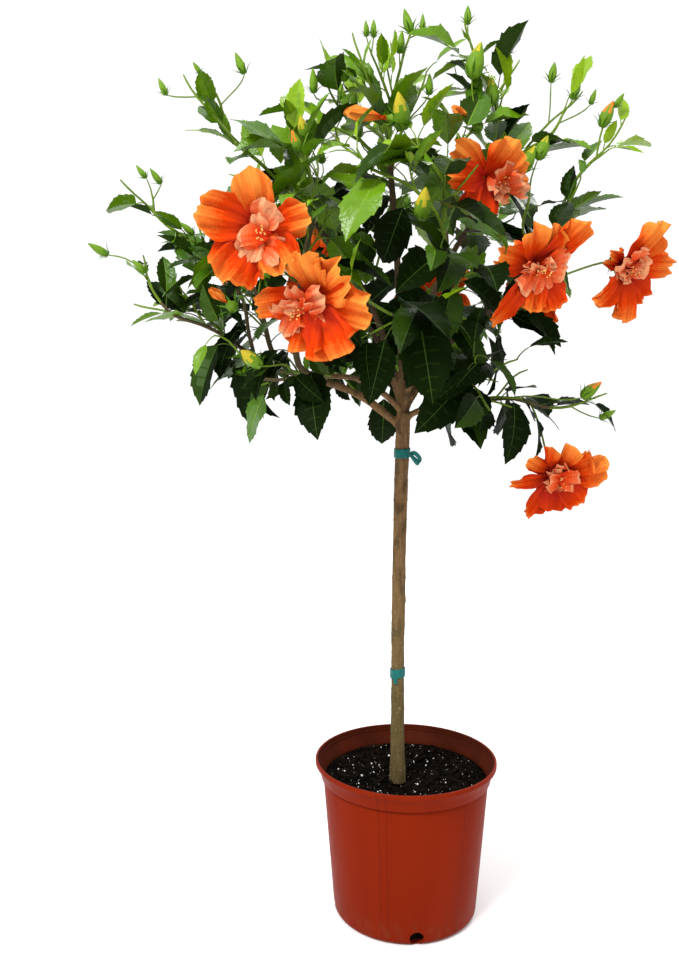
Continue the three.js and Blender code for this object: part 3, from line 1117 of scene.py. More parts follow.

# %% Colour the bark
# Tan-brown at the head, olive near the foot where algae settle, and darker in the crown,
# partly the wood's own darker brown and partly painted shade under the leaves.
brown_bark = Finish("tan_bark", roughness=0.85, specular_ior_level=0.2)
stem_height = brown_bark.node("ShaderNodeSeparateXYZ", {}, {0: brown_bark.place}, out="Z")
fibre = brown_bark.noise(340, 4, stretch=(1, 1, 0.12))
blotch = brown_bark.noise(55, 3, stretch=(1, 1, 0.6))
pore = brown_bark.between(brown_bark.noise(420, 1, stretch=(1, 1, 0.7)), 0.64, 0.72)
tan = brown_bark.mix((0.060, 0.028, 0.010), (0.260, 0.145, 0.060), fibre)
tan = brown_bark.mix(tan, (0.055, 0.030, 0.012), brown_bark.between(blotch, 0.48, 0.66) * 0.85)
olive = brown_bark.mix((0.035, 0.028, 0.007), (0.125, 0.098, 0.032), fibre)
foot_part = (1 - brown_bark.between(stem_height, 0.24, 0.62)) * 0.80
wood_colour = brown_bark.mix(tan, olive, foot_part)
# Darker wood with painted shade for the boughs inside the crown, from 0.73 m up.
dark_and_shaded_wood = brown_bark.mix((0.022, 0.015, 0.009), (0.075, 0.052, 0.032), fibre)
crown_part = brown_bark.between(stem_height, 0.730, 0.800) * 0.85
wood_colour = brown_bark.mix(wood_colour, dark_and_shaded_wood, crown_part)
brown_bark.set(base_color=brown_bark.mix(wood_colour, (0.36, 0.27, 0.16), pore * 0.35))
brown_bark.relief(fibre + pore * 0.6, 0.0009, 0.8)
finish_piece(bark, [brown_bark], ["trunk", *bough_names], angle=80)

# %% [markdown]
# ## Twigs
# Past the boughs the wood is thin. Branches are brown, and the last stretch of every shoot is
# still green. Each is a round tapering limb that starts inside the limb that carries it.

# %% Colour the twigs
twig_brown = Finish("twig_bark", roughness=0.75, specular_ior_level=0.2)
mottle = twig_brown.noise(240, 3)
twig_brown.set(base_color=twig_brown.mix((0.045, 0.032, 0.014), (0.130, 0.098, 0.045), mottle))
twig_green = Finish("green_shoot", roughness=0.5, specular_ior_level=0.12)
mottle = twig_green.noise(160, 2)
twig_green.set(base_color=twig_green.mix((0.065, 0.125, 0.006), (0.170, 0.270, 0.020), mottle))

# %% Lay the twigs
GREEN_UNDER = (0.0022, 0.0036)  # wood thinner than this is still green, low and high in the crown
children = {}
for number, parent in enumerate(parents):
    children.setdefault(parent, []).append(number)
bough_set = set(range(FIRST_FREE)) | {n for ns in bough_numbers.values() for n in ns}


def chains():
    """Split the skeleton into limbs: each follows its thickest child to a tip."""
    starts = [n for n in range(len(at)) if n not in bough_set and parents[n] in bough_set]
    while starts:
        number = starts.pop()
        chain = [int(parents[number]), number]
        while children.get(chain[-1]):
            ranked = sorted(children[chain[-1]], key=lambda n: -load[n])
            starts += ranked[1:]
            chain.append(ranked[0])
        yield chain


twig_parts = []
for chain in chains():
    radii = girth[chain].copy()
    radii[0] = radii[1]
    radii[-1] *= 0.7
    smooth = at[chain].copy()
    for _ in range(2):
        smooth[1:-1] = (smooth[:-2] + 2 * smooth[1:-1] + smooth[2:]) / 4
    sides = 8 if radii[1] > 0.0016 else 6
    points, quads, _ = tube(smooth, radii, sides)
    is_green = radii[:-1] < np.interp(smooth[:-1, 2], [0.85, 1.0], GREEN_UNDER)
    twig_parts.append((points, quads, np.repeat(is_green.astype(int), sides)))
joined("twigs", twig_parts, [twig_brown, twig_green])

# %% [markdown]
# ## Leaves
# A hibiscus leaf is oval with a drawn-out tip, coarse teeth, a pale midrib and side veins that
# each run out to a tooth. One leaf is a strip of rows from stalk to tip, two rows to a vein: the
# rows turn the outline in and out for the teeth, and the narrow band between them is the vein.
# All the leaves are worked out at once, each with its own fold, bend, twist and size.

# %% Shape of one leaf
VEINS = 6  # side veins on each half
vein_foot = np.linspace(0.09, 0.83, VEINS)
row_at = np.sort(np.concatenate([[0, 1], vein_foot, vein_foot + 0.022]))
ROWS = len(row_at)
is_tooth = np.arange(ROWS) % 2 == 1
half_width = (row_at**0.62) * (1 - row_at) ** 1.12
half_width = half_width / half_width.max() * 0.275
half_width = half_width * np.where(row_at < 0.15, 1.0, np.where(is_tooth, 1.05, 0.93))
half_width = np.maximum(half_width, 0.004)
RIB = 0.010  # half the midrib's width, as a part of the leaf's length
rib_width = np.minimum(RIB * (1 - 0.75 * row_at), half_width * 0.3)
zero = np.zeros(ROWS)
leaf_x = np.stack([-half_width, -0.52 * half_width, -rib_width], axis=1)
leaf_x = np.concatenate([leaf_x, -leaf_x[:, ::-1]], axis=1)
middle_part = np.sin(np.pi * row_at)
forward = 0.075 * middle_part + 0.014 * is_tooth * (row_at < 0.95)
leaf_y = row_at[:, None] + np.stack([forward, 0.034 * middle_part, zero] * 2, axis=1)
leaf_y[:, 3:] = leaf_y[:, 2::-1]
leaf_z = np.stack([-0.010 * middle_part, 0.004 * middle_part, -0.010 * middle_part] * 2, axis=1)
leaf_z[:, 3:] = leaf_z[:, 2::-1]
row, col = np.meshgrid(np.arange(ROWS - 1), np.arange(5), indexing="ij")
first = (row * 6 + col).ravel()
leaf_faces = np.stack([first, first + 1, first + 7, first + 6], axis=1)
is_rib = (col == 2).ravel()
is_vein = ((row % 2 == 1) & (col % 2 == 1)).ravel()
is_left = (col < 2).ravel()
is_sheen = ((row % 2 == 0) & (row > 2) & (row < 9) & (col == 3)).ravel()
print("faces on a leaf:", len(leaf_faces))


# %% Bend and place many leaves at once
def leaf_points(length, girth, fold, curl, twist, wave, phase):
    """Points of every leaf: x across, y along and z out of its upper face, in metres."""
    length, girth, fold, curl, twist, wave, phase = (
        np.asarray(v)[:, None, None] for v in (length, girth, fold, curl, twist, wave, phase)
    )
    x = leaf_x * length * girth
    y = leaf_y * np.ones_like(x)
    edge = np.abs(leaf_x) / leaf_x.max()
    ripple = np.sin(2 * np.pi * 1.6 * y + phase + np.sign(x) * 1.1) * edge**2
    lift = leaf_z * length + np.abs(x) * np.tan(fold) + wave * length * ripple
    lean = twist * y
    x, lift = x * np.cos(lean) - lift * np.sin(lean), x * np.sin(lean) + lift * np.cos(lean)
    bend = curl * y
    ahead = np.sin(bend) / curl * length + lift * np.sin(bend)
    up = -(1 - np.cos(bend)) / curl * length + lift * np.cos(bend)
    return np.stack([x, ahead, up], axis=-1)


def frames(ahead, face):
    """Three axes for each: across, ahead, and out of the upper face."""
    across = unit(np.cross(ahead, face))
    return np.stack([across, ahead, np.cross(across, ahead)], axis=1)


# %% [markdown]
# Leaves sit one by one round a shoot, each a little over a third of a turn from the last. The
# youngest are small, bright and upright at the tip. Older ones are large, dark and hang.

# %% Find a place for each leaf
GOLDEN_TURN = math.radians(137.5)
LEAFY = 0.130  # metres of each shoot that carry leaves
FIRST_LEAF = 0.002  # metres from the shoot's tip
FULL_GROWN = 0.070  # metres from the tip at which leaves are full grown
# Metres from one leaf to the next: at the tip, how much it grows with each leaf, and the most.
FIRST_GAP, GAP_GROWTH, WIDEST_GAP = 0.009, 0.005, 0.024
sites = []
for shoot in shoots:
    path = [shoot["root"], *shoot["path"]]
    while len(path) < 14 and parents[path[0]] >= FIRST_FREE:
        path.insert(0, int(parents[path[0]]))
    line = at[path][::-1]
    length = way_along(line)
    place, gap = FIRST_LEAF, FIRST_GAP
    turn = chance.random() * 2 * np.pi
    leafy = LEAFY * chance.uniform(0.75, 1.25) * shoot["leafy"]
    leafy = min(leafy, length[-1] - 0.004)
    while place < leafy:
        i = min(int(np.searchsorted(length, place, side="right")) - 1, len(line) - 2)
        part = (place - length[i]) / max(length[i + 1] - length[i], 1e-6)
        sites.append(
            {
                "at": line[i] * (1 - part) + line[i + 1] * part,
                "along": unit(line[i] - line[i + 1]),
                "turn": turn,
                "age": min(1.0, place / FULL_GROWN),
                "hang": shoot["hang"],
                "leaf": shoot["leaf"],
                "kind": shoot["kind"],
            }
        )
        turn += GOLDEN_TURN
        place += gap * chance.uniform(0.85, 1.15) * (1 + 0.32 * shoot["hang"])
        gap = min(gap + GAP_GROWTH, WIDEST_GAP)
print("leaf sites:", len(sites))

# %% Turn each leaf to the light
UP = np.array([0.0, 0.0, 1.0])
stem_at, along = (np.array([site[key] for site in sites]) for key in ("at", "along"))
age, hang, turn, scale, kind = (
    np.array([site[key] for site in sites]) for key in ("age", "hang", "turn", "leaf", "kind")
)
out = unit(stem_at - CROWN_HEART)
first = unit(np.cross(along, UP + 0.01))
second = np.cross(along, first)
sideways = np.cos(turn)[:, None] * first + np.sin(turn)[:, None] * second
sideways = unit(sideways + 0.45 * out)
LONGEST_LEAF = 0.106
leaf_length = (0.046 + 0.044 * age) * chance.uniform(0.75, 1.25, len(sites)) * scale
near_top = np.clip((stem_at[:, 2] - 0.98) / 0.10, 0, 1)
leaf_length = leaf_length * (1 + 0.10 * hang + 0.16 * near_top)
leaf_length = np.minimum(leaf_length, LONGEST_LEAF)
stalk_way = unit(sideways * 0.8 + along * 0.55 + UP * 0.1)
stalk_length = leaf_length * chance.uniform(0.24, 0.42, len(sites))
sag = stalk_length * 0.12 * age
blade_at = stem_at + stalk_way * stalk_length[:, None] - UP * sag[:, None]
on_spray = (kind == EDGE_SHOOT) * (1 - hang)
droop = 0.10 + 0.50 * age * (1 - 0.6 * on_spray) + 1.2 * hang * age
ahead_part = 0.7 - 0.4 * age + 0.5 * on_spray
blade_way = sideways * 0.9 + along * ahead_part[:, None] - UP * droop[:, None]
blade_way = unit(unit(blade_way) + 0.20 * chance.normal(size=stem_at.shape))
downward = np.clip(-blade_way[:, 2], 0, 1)
outward = unit(out * (1, 1, 0) + (0, -0.45, 0.15))
face_way = UP * (1.0 - 0.8 * downward)[:, None] + outward * (0.30 + 1.2 * downward)[:, None]
face_way = unit(face_way + 0.26 * chance.normal(size=stem_at.shape))

# %% Bend every leaf into place
count = len(sites)
narrow = np.interp(age, [0, 0.3], [0.62, 1])  # the youngest leaves haven't opened out
straight = 1 - 0.50 * np.maximum(hang, on_spray)
local = leaf_points(
    leaf_length,
    girth=chance.uniform(0.72, 1.06, count) * narrow + 0.12 * hang,
    fold=chance.uniform(0.10, 0.62, count) * (1 - 0.45 * hang),
    curl=(chance.uniform(0.20, 1.00, count) + 0.25 * age) * straight,
    twist=chance.normal(0, 0.30, count) * (1 - 0.50 * hang),
    wave=chance.uniform(0.015, 0.070, count),
    phase=chance.uniform(0, 6.28, count),
)
axes = frames(blade_way, face_way)
blades = np.einsum("nrck,nkj->nrcj", local, axes) + blade_at[:, None, None]

# %% [markdown]
# A real crown is airy: in places nothing stands between the eye and the sky behind. By chance
# alone such gaps would fill with leaves. So each gap is a thin cone that starts at the eye of
# someone in front of the plant and runs right through it, and no leaf may reach into one.

# %% Where the sky shows through
# Each gap: how far right and how high it is where it crosses the middle of the plant, and its
# radius there, in metres.
VIEWED_FROM = np.array(CAMERA_AT)
GAPS = [
    (-0.319, 1.019, 0.036),
    (-0.393, 0.880, 0.036),
    (-0.204, 1.155, 0.022),
    (0.271, 1.040, 0.026),
    (-0.253, 0.716, 0.036),
    (0.223, 0.777, 0.026),
    (0.165, 1.186, 0.029),
    (0.268, 1.160, 0.028),
    (-0.075, 0.688, 0.036),
    (-0.270, 1.061, 0.026),
    (-0.322, 1.191, 0.036),
    (0.296, 0.738, 0.034),
    (-0.400, 1.051, 0.036),
    (0.204, 1.124, 0.020),
    (0.168, 0.771, 0.015),
    (-0.312, 1.129, 0.023),
    (0.323, 1.119, 0.030),
    (-0.381, 0.950, 0.029),
    (-0.164, 0.672, 0.036),
    (-0.054, 1.087, 0.017),
    (-0.351, 0.804, 0.036),
    (0.236, 0.700, 0.023),
    (-0.242, 1.134, 0.017),
    (-0.037, 1.150, 0.018),
    (0.062, 1.126, 0.016),
    (0.008, 1.190, 0.014),
]
print("gaps:", len(GAPS))

# %% Keep the leaves near their masses and clear of the blooms
LOWEST_TIPS = np.array([0.690, 0.640, 0.662])  # for each kind of shoot
LOWEST_NEAR_STEM = 0.712
HIGHEST_TIP = 1.222  # only buds stand higher
FURTHEST_BACK = 0.345
BARE_STEM = 0.100  # metres round the fork where only high leaves hang
blade_tip = blades[:, -1].mean(axis=1)
blade_middle = blades[:, ROWS // 2].mean(axis=1)
depth = -outside_by(blade_middle)
allowed = np.interp(blade_tip[:, 2], [0.75, 0.85, 1.05], [0.006, 0.014, 0.026])
allowed = np.where(kind > RING_SHOOT, 0.050, allowed)
clear = (outside_by(blade_tip) < allowed) & (blade_tip[:, 2] > LOWEST_TIPS[kind])
clear &= (blade_tip[:, 2] < HIGHEST_TIP) & (blade_tip[:, 1] < FURTHEST_BACK)
near_stem = np.linalg.norm(blade_tip[:, :2] - fork[:2], axis=1) < BARE_STEM
clear &= ~(near_stem & (blade_tip[:, 2] < LOWEST_NEAR_STEM))

# Deep inside the crown many leaves have dropped for want of light, least of all low down.
dropped = np.interp(depth, [0.025, 0.070], [0, 0.55])
dropped = dropped * np.interp(stem_at[:, 2], [0.80, 0.95], [0.2, 1])
clear &= (chance.random(count) > dropped) | (kind > RING_SHOOT)
for bloom in BLOOMS:
    away = blade_middle - bloom["at"]
    ahead = away @ bloom["facing"]
    aside = np.linalg.norm(away - ahead[:, None] * bloom["facing"], axis=1)
    clear &= ~((aside < 0.064 * bloom["size"]) & (ahead > -0.03) & (ahead < 0.16))

# %% Keep the leaves out of the gaps
for points in (blade_tip, blade_middle, blades[:, 1].mean(axis=1)):
    sight = points - VIEWED_FROM
    seen = VIEWED_FROM + sight * (-VIEWED_FROM[1] / sight[:, 1:2])
    for gap_x, gap_z, radius in GAPS:
        clear &= np.hypot(seen[:, 0] - gap_x, seen[:, 2] - gap_z) > radius
keep = np.flatnonzero(clear)
print("leaves kept:", len(keep), "of", len(sites))

# %% [markdown]
# Colour goes by leaf. Low and deep in the crown it is almost black-green, which is painted shade;
# higher up it turns rich and then bright green, which is painted light, and young leaves are paler
# of their own. Each tone is a plain finish of its own with a slight mottle and gloss.
# The two halves of a leaf catch the light differently, so one may be a tone off the other as
# painted light and shade, and half of the leaves get painted sheen: pale patches between two veins.


# %% Leaf finishes
def blend(first, second, part):
    return tuple(a * (1 - part) + b * part for a, b in zip(first, second))


def leaf_finish(name, colour, gloss, shine=0.3):
    finish = Finish(name, specular_ior_level=shine)
    mottle = finish.noise(90, 3)
    finish.set(base_color=finish.mix(shade(colour, 0.78), shade(colour, 1.25), mottle))
    finish.set(roughness=mottle * 0.12 + gloss)
    finish.relief(finish.noise(230, 2), 0.0011, 0.8)
    return finish


# The tones run from leaf green in painted shade, low and deep in the crown, to leaf green in
# painted light at the top. The palest is also the young leaves' own colour.
LEAF_COLOURS = {
    "deepest": ((0.004, 0.010, 0.001), 0.40, 0.02),
    "dark": ((0.016, 0.039, 0.002), 0.32, 0.07),
    "green": ((0.046, 0.116, 0.003), 0.22, 0.26),
    "bright": ((0.098, 0.208, 0.003), 0.22, 0.26),
    "young": ((0.190, 0.325, 0.005), 0.26, 0.24),
}
# A leaf in the two darkest tones gets the dark rib, which carries its painted shade.
RIB_COLOURS = {"dark": (0.032, 0.070, 0.008), "pale": (0.150, 0.265, 0.025)}
# Painted sheen: pale patches that stand for a glossy leaf catching the light.
SHEEN_COLOURS = {
    "dark": (0.030, 0.066, 0.011),
    "green": (0.064, 0.143, 0.018),
    "bright": (0.130, 0.250, 0.012),
}
VEIN_STRENGTH = 0.17
LEAF_TONES = [
    leaf_finish(f"leaf_{name}", colour, gloss, shine)
    for name, (colour, gloss, shine) in LEAF_COLOURS.items()
]
for name, (colour, gloss, shine) in LEAF_COLOURS.items():
    rib_colour = RIB_COLOURS["dark" if name in ("deepest", "dark") else "pale"]
    vein = blend(colour, rib_colour, VEIN_STRENGTH)
    LEAF_TONES.append(leaf_finish(f"vein_{name}", vein, gloss, shine))
LEAF_TONES += [
    leaf_finish(f"rib_{name}", colour, 0.45, 0.1) for name, colour in RIB_COLOURS.items()
]
LEAF_TONES += [
    leaf_finish(f"sheen_{name}", colour, 0.3, 0.2) for name, colour in SHEEN_COLOURS.items()
]
FIRST_VEIN = len(LEAF_COLOURS)
FIRST_RIB = 2 * len(LEAF_COLOURS)
FIRST_SHEEN = FIRST_RIB + len(RIB_COLOURS)
print("leaf finishes:", len(LEAF_TONES))

# %% Deal out the tones
# Painted light and shade: the higher a leaf, the lighter its tone, and the lower it hangs or the
# deeper it lies in the crown, the darker. Young leaves are lighter of their own.
height_part = np.clip((stem_at[:, 2] - 0.74) / 0.34, 0, 1)
bright = 0.80 + 2.2 * height_part + 1.4 * (1 - age) - 1.0 * hang
shaded = np.clip(depth - 0.035, 0, 0.1) * (20 - 10 * height_part)
bright = bright - shaded + 0.95 * chance.normal(size=len(sites))
brightest = np.where((age > 0.5) & (stem_at[:, 2] < 1.05), 3, 4)  # old leaves are never palest
leaf_tone = np.clip(np.round(bright), 0, brightest).astype(int)
unlike = chance.choice([-1, 0, 1], size=count, p=[0.34, 0.38, 0.28])
left_tone = np.clip(leaf_tone + unlike, 0, brightest)
# Half of the leaves, none in the darkest tone, get painted sheen.
has_painted_sheen = (chance.random(count) < 0.5) & (leaf_tone > 0)

# %% Join the leaves
leaf_parts = []
for i in keep:
    tone = leaf_tone[i]
    tones = np.where(is_left, left_tone[i], tone)
    tones[is_vein] += FIRST_VEIN
    if has_painted_sheen[i]:
        tones[is_sheen] = FIRST_SHEEN + min(tone, 3) - 1
    tones[is_rib] = FIRST_RIB + (tone > 1)
    leaf_parts.append((blades[i], leaf_faces, tones))
joined("leaves", leaf_parts, LEAF_TONES, mass_names)

# %% Leaf stalks
stalk_parts = []
for i in keep:
    t = np.linspace(0, 1, 4)[:, None]
    bow = UP * 0.10 * stalk_length[i]
    line = stem_at[i] * (1 - t) + blade_at[i] * t + bow * np.sin(np.pi * t)
    stalk_parts.append(tube(line, np.linspace(0.0010, 0.0007, 4), 5, int(leaf_tone[i] > 2)))
# A leaf in one of the two lightest tones has the pale stalk, which follows its painted light.
stalk_dark = leaf_finish("stalk_dark", (0.055, 0.090, 0.010), 0.45, 0.12)
stalk_pale = leaf_finish("stalk_pale", (0.160, 0.270, 0.020), 0.45, 0.12)
joined("leaf_stalks", stalk_parts, [stalk_dark, stalk_pale])

# %% [markdown]
# ## Blooms
# A double hibiscus has five broad ruffled petals and, inside them, a tuft of small crumpled ones.
# A petal is a grid of rows from throat to edge. Its rows lean out from the flower's axis, widen
# like a fan, and ripple more towards the edge. Its middle reaches further than its sides, which
# rounds the end, and fine pleats stand for the veins.


# %% Shape of a petal
def across_and_up(facing):
    """The ways to the right of a flower and up from it, as seen face on."""
    right = unit(np.cross((0, 0, 1.0), facing))
    return right, np.cross(facing, right)


def petal(bloom, turn, length, width, lean, ruffle, rows, cols, lift=0.0):
    """Points and faces of a petal, how far along each face lies, and which way it leans out."""
    u = np.linspace(0, 1, rows)[:, None]
    v = np.linspace(-1, 1, cols)[None, :]
    phase = chance.uniform(0, 6.28, 5)
    fringe = 0.022 * np.sin(6 * v + phase[0]) + 0.010 * np.sin(17 * v + phase[1])
    reach = (1 - 0.26 * np.abs(v) ** 3) * (1 + fringe * u**3)
    along = u * reach
    marks = np.linspace(0, 1.1, 40)
    angle = np.radians(lean[0] + (lean[1] - lean[0]) * marks**0.7)
    out_by = np.concatenate([[0], np.cumsum(np.sin(angle[1:]))]) * length * marks[1]
    up_by = np.concatenate([[0], np.cumsum(np.cos(angle[1:]))]) * length * marks[1]
    tilt = np.interp(along, marks, angle)
    fan = width * (0.15 + 0.85 * np.sin(np.pi / 2 * np.minimum(u / 0.88, 1)) ** 1.6)
    fan = fan * (1 + 0.07 * np.abs(v) ** 3 * np.sin(11 * u + phase[1] + 2 * np.sign(v)) * u)
    wave = np.sin(2.3 * np.pi * v + phase[2]) + 0.6 * np.sin(5.1 * np.pi * v + phase[3] + 3 * u)
    push = ruffle * u**1.8 * (0.45 + 0.55 * np.abs(v)) * wave
    push = push + 0.35 * ruffle * np.sin(13 * u + phase[4]) * np.sign(v) * np.abs(v) ** 3 * u
    push = push + 0.30 * width * v**2 * (1 - 1.6 * u)
    push = push + 0.0005 * (2 * (np.arange(cols) % 2) - 1)[None, :] * np.sin(np.pi * u)
    radial = np.interp(along, marks, out_by) - push * np.cos(tilt)
    axial = np.interp(along, marks, up_by) + push * np.sin(tilt) + lift
    facing = bloom["facing"]
    right, above = across_and_up(facing)
    out_way = math.cos(turn) * right + math.sin(turn) * above
    side_way = np.cross(out_way, facing)
    points = bloom["base"] + radial[..., None] * out_way + axial[..., None] * facing
    twist = chance.normal(0, 0.12) * width
    points = points + (fan * v)[..., None] * side_way
    points = points + (twist * u * v)[..., None] * facing
    row, col = np.meshgrid(np.arange(rows - 1), np.arange(cols - 1), indexing="ij")
    first = (row * cols + col).ravel()
    quads = np.stack([first, first + 1, first + cols + 1, first + cols], axis=1)
    veins = 0.030 * (2 * (np.arange(cols - 1) % 2) - 1) * np.ones((rows - 1, 1))
    veins = veins + 0.035 * np.sin(4 * v[:, :-1] + phase[4])
    part = (u[:-1] + 0.5 / rows) * reach[:-1, :-1] + veins
    rim = np.repeat(np.arange(rows - 1) == rows - 2, cols - 1)
    return points, quads, part.ravel() + 0.10 * rim, out_way


# %% Petal finishes
def petal_finish(name, colour):
    finish = Finish(name, roughness=0.7, specular_ior_level=0.02)
    mottle = finish.noise(130, 3)
    finish.set(base_color=finish.mix(shade(colour, 0.93), shade(colour, 1.05), mottle))
    finish.relief(finish.noise(260, 3), 0.0006, 0.5)
    return finish


THROAT_RED = (0.46, 0.022, 0.012)
DEEP_ORANGE = (0.60, 0.044, 0.002)
LIGHT_ORANGE = (0.80, 0.255, 0.040)
SALMON = (0.68, 0.125, 0.045)
PALE_SALMON = (0.72, 0.290, 0.140)
STEPS = 8
PETAL_TONES = [
    petal_finish(f"petal_deep_{i + 1}", blend(THROAT_RED, DEEP_ORANGE, i / STEPS))
    for i in range(STEPS)
]
PETAL_TONES += [
    petal_finish(f"petal_light_{i + 1}", blend(DEEP_ORANGE, LIGHT_ORANGE, i / (STEPS - 1)))
    for i in range(STEPS)
]
TUFT_COLOURS = [blend(DEEP_ORANGE, SALMON, part) for part in (0.1, 0.4, 0.7)]
TUFT_COLOURS += [blend(SALMON, PALE_SALMON, part) for part in (0.0, 0.5, 1.0)]
PETAL_TONES += [
    petal_finish(f"petal_tuft_{i + 1}", colour) for i, colour in enumerate(TUFT_COLOURS)
]
PETAL_TONES += [petal_finish("anther_yellow", (0.74, 0.42, 0.12))]
OUTER_COUNT = 2 * STEPS
THROAT_TONE = 4
print("petal finishes:", len(PETAL_TONES))

# %% [markdown]
# A petal that leans towards the sky lets the light through and looks paler than one that hangs
# in its own shade, so the finishes of the upper petals start a few steps lighter.

# %% Build the blooms
PETALS = 5
TUFT = 9  # small petals in the middle


def tuft_shift(bloom, extra=0.0):
    """How far a bloom's tuft sits off its middle, as a step in the frame."""
    right, above = across_and_up(bloom["facing"])
    aside = (np.array(bloom.get("tuft", (0, 0))) + extra) * bloom["size"]
    return aside[0] * right + aside[1] * above


petal_parts = []
for bloom in BLOOMS:
    size = bloom["size"]
    first_turn = 360 * chance.random()
    even = [
        (first_turn + 360 / PETALS * i + chance.normal(0, 6), 80, 27, chance.uniform(70, 105))
        for i in range(PETALS)
    ]
    for turn, length, width, last_lean in bloom.get("petals", even):
        points, quads, part, out_way = petal(
            bloom,
            math.radians(turn),
            length=length / 1000 * size,
            width=width / 1000 * size,
            lean=(chance.uniform(16, 38), last_lean),
            ruffle=0.38 * width / 1000 * size,
            rows=21,
            cols=23,
        )
        step = part * 0.9 + 0.20 * out_way[2] + bloom.get("tone", 0) + chance.normal(0, 0.06)
        tone = np.clip((step * OUTER_COUNT).astype(int), 0, OUTER_COUNT - 1)
        petal_parts.append((points, quads, tone))
    for i in range(TUFT):
        long = chance.uniform(0.020, 0.043)
        shift = tuft_shift(bloom, chance.normal(0, 0.005, 2))
        points, quads, part, _ = petal(
            bloom,
            i * GOLDEN_TURN + chance.normal(0, 0.2),
            length=long * size,
            width=long * chance.uniform(0.28, 0.44) * size,
            lean=(chance.uniform(0, 34), chance.uniform(35, 115)),
            ruffle=0.0062 * size,
            rows=10,
            cols=9,
            lift=(0.012 + 0.010 * chance.random()) * size,
        )
        part = part + chance.uniform(-0.30, 0.15) + bloom.get("tone", 0)
        paler = np.clip((part - 0.15) / 0.70 * len(TUFT_COLOURS), 0, len(TUFT_COLOURS) - 1)
        tuft_tone = np.where(part < 0.15, THROAT_TONE, OUTER_COUNT + paler.astype(int))
        petal_parts.append((points + shift, quads, tuft_tone))

# %% Roll up the spent blooms
# A bloom that is over closes into a roll on its calyx before it falls.
SPENT = [
    {"base": (-0.036, -0.100, 1.080), "facing": (-1.0, -0.15, 0.08), "size": 0.90},
    {"base": (-0.226, -0.176, 0.846), "facing": (-0.5, -0.6, 0.40), "size": 0.55},
    {"base": (0.075, -0.070, 1.082), "facing": (-0.8, -0.3, 0.50), "size": 0.60},
    {"base": (0.120, 0.225, 0.990), "facing": (0.5, 0.8, -0.20), "size": 0.80},
]
for bloom in SPENT:
    bloom["base"] = np.array(bloom["base"])
    bloom["facing"] = unit(np.array(bloom["facing"]))
    for i in range(PETALS):
        points, quads, part, _ = petal(
            bloom,
            2 * np.pi * i / PETALS,
            length=0.058 * bloom["size"] * chance.uniform(0.85, 1.05),
            width=0.010 * bloom["size"],
            lean=(9, -3),
            ruffle=0.0016,
            rows=9,
            cols=7,
        )
        roll_tone = np.clip((part * 1.4 * OUTER_COUNT).astype(int) + 7, 0, OUTER_COUNT - 1)
        petal_parts.append((points, quads, roll_tone))

# %% Add the anthers
ANTHERS = 22
ball = np.array([(1, 0, 0), (-1, 0, 0), (0, 1, 0), (0, -1, 0), (0, 0, 1), (0, 0, -1)], float)
ball_faces = [(0, 2, 4), (2, 1, 4), (1, 3, 4), (3, 0, 4)]
ball_faces += [(2, 0, 5), (1, 2, 5), (3, 1, 5), (0, 3, 5)]
anther_parts = []
for bloom in BLOOMS:
    spread = np.clip(chance.normal(size=(ANTHERS, 3)), -1.5, 1.5) * 0.005 * bloom["size"]
    reach = chance.uniform(0.020, 0.040, ANTHERS)[:, None] * bloom["size"]
    places = bloom["base"] + tuft_shift(bloom) + bloom["facing"] * reach + spread
    sizes = chance.uniform(0.0010, 0.0016, ANTHERS)
    anther_parts.append(copies(ball, ball_faces, 0, turned_axes(ANTHERS, sizes), places))
joined("petals", petal_parts, PETAL_TONES, BLOOM_NODES)
joined("anthers", anther_parts, [PETAL_TONES[-1]])

# %% [markdown]
# ## Buds and calyces
# A bud is a pointed egg in a green calyx, with a ruff of thin bracts at its foot. Some are about
# to open and show yellow or orange. Each open bloom has the same calyx and ruff behind it.

# %% Shape of a bud
BUD_SIDES = 10
BUD_RADIUS = 0.0056
bud_rows = np.array([0.0, 0.05, 0.16, 0.32, 0.50, 0.68, 0.84, 0.94, 1.0])
bud_girth = np.array([0.12, 0.58, 0.88, 1.0, 0.94, 0.70, 0.40, 0.20, 0.02])
bud_turn = 2 * np.pi * np.arange(BUD_SIDES) / BUD_SIDES
ridges = 1 + 0.13 * np.cos(5 * bud_turn) * (0.3 + bud_rows)[:, None]
ring = bud_girth[:, None] * ridges * BUD_RADIUS
bud_points = np.stack(
    [
        ring * np.cos(bud_turn),
        np.repeat(bud_rows[:, None], BUD_SIDES, axis=1) * BUD_LENGTH,
        ring * np.sin(bud_turn),
    ],
    axis=-1,
).reshape(-1, 3)
row, col = np.meshgrid(np.arange(len(bud_rows) - 1), np.arange(BUD_SIDES), indexing="ij")
nxt = (col + 1) % BUD_SIDES
base, above = row * BUD_SIDES, (row + 1) * BUD_SIDES
bud_faces = np.stack([base + col, above + col, above + nxt, base + nxt], axis=-1).reshape(-1, 4)
bud_part = np.repeat(bud_rows[1:], BUD_SIDES)
is_lobe = np.tile(np.arange(BUD_SIDES) % 2 == 0, len(bud_rows) - 1)


def ruff(count, length, spread, foot=0.003):
    """Thin bracts round the foot of a bud, as points and faces."""
    points, faces = [], []
    for i in range(count):
        angle = 2 * np.pi * i / count
        way = np.array([math.cos(angle), 0, math.sin(angle)])
        side = np.array([-math.sin(angle), 0, math.cos(angle)])
        base = way * foot + (0, 0.001, 0)
        mid = base + unit(way * spread + (0, 1, 0)) * length * 0.5
        end = base + unit(way * spread * 1.5 + (0, 1, 0)) * length
        start = len(points)
        for centre, wide, thick in ((base, 12, 5), (mid, 11, 4), (end, 1, 1)):
            width, rise = side * wide * 1e-4, way * thick * 1e-4 - (0, thick * 1e-4, 0)
            points += [centre - width, centre + width, centre + rise]
        for a in (start, start + 3):
            faces += [(a, a + 3, a + 4, a + 1), (a + 1, a + 4, a + 5, a + 2)]
            faces += [(a + 2, a + 5, a + 3, a)]
    return np.array(points), np.array(faces)


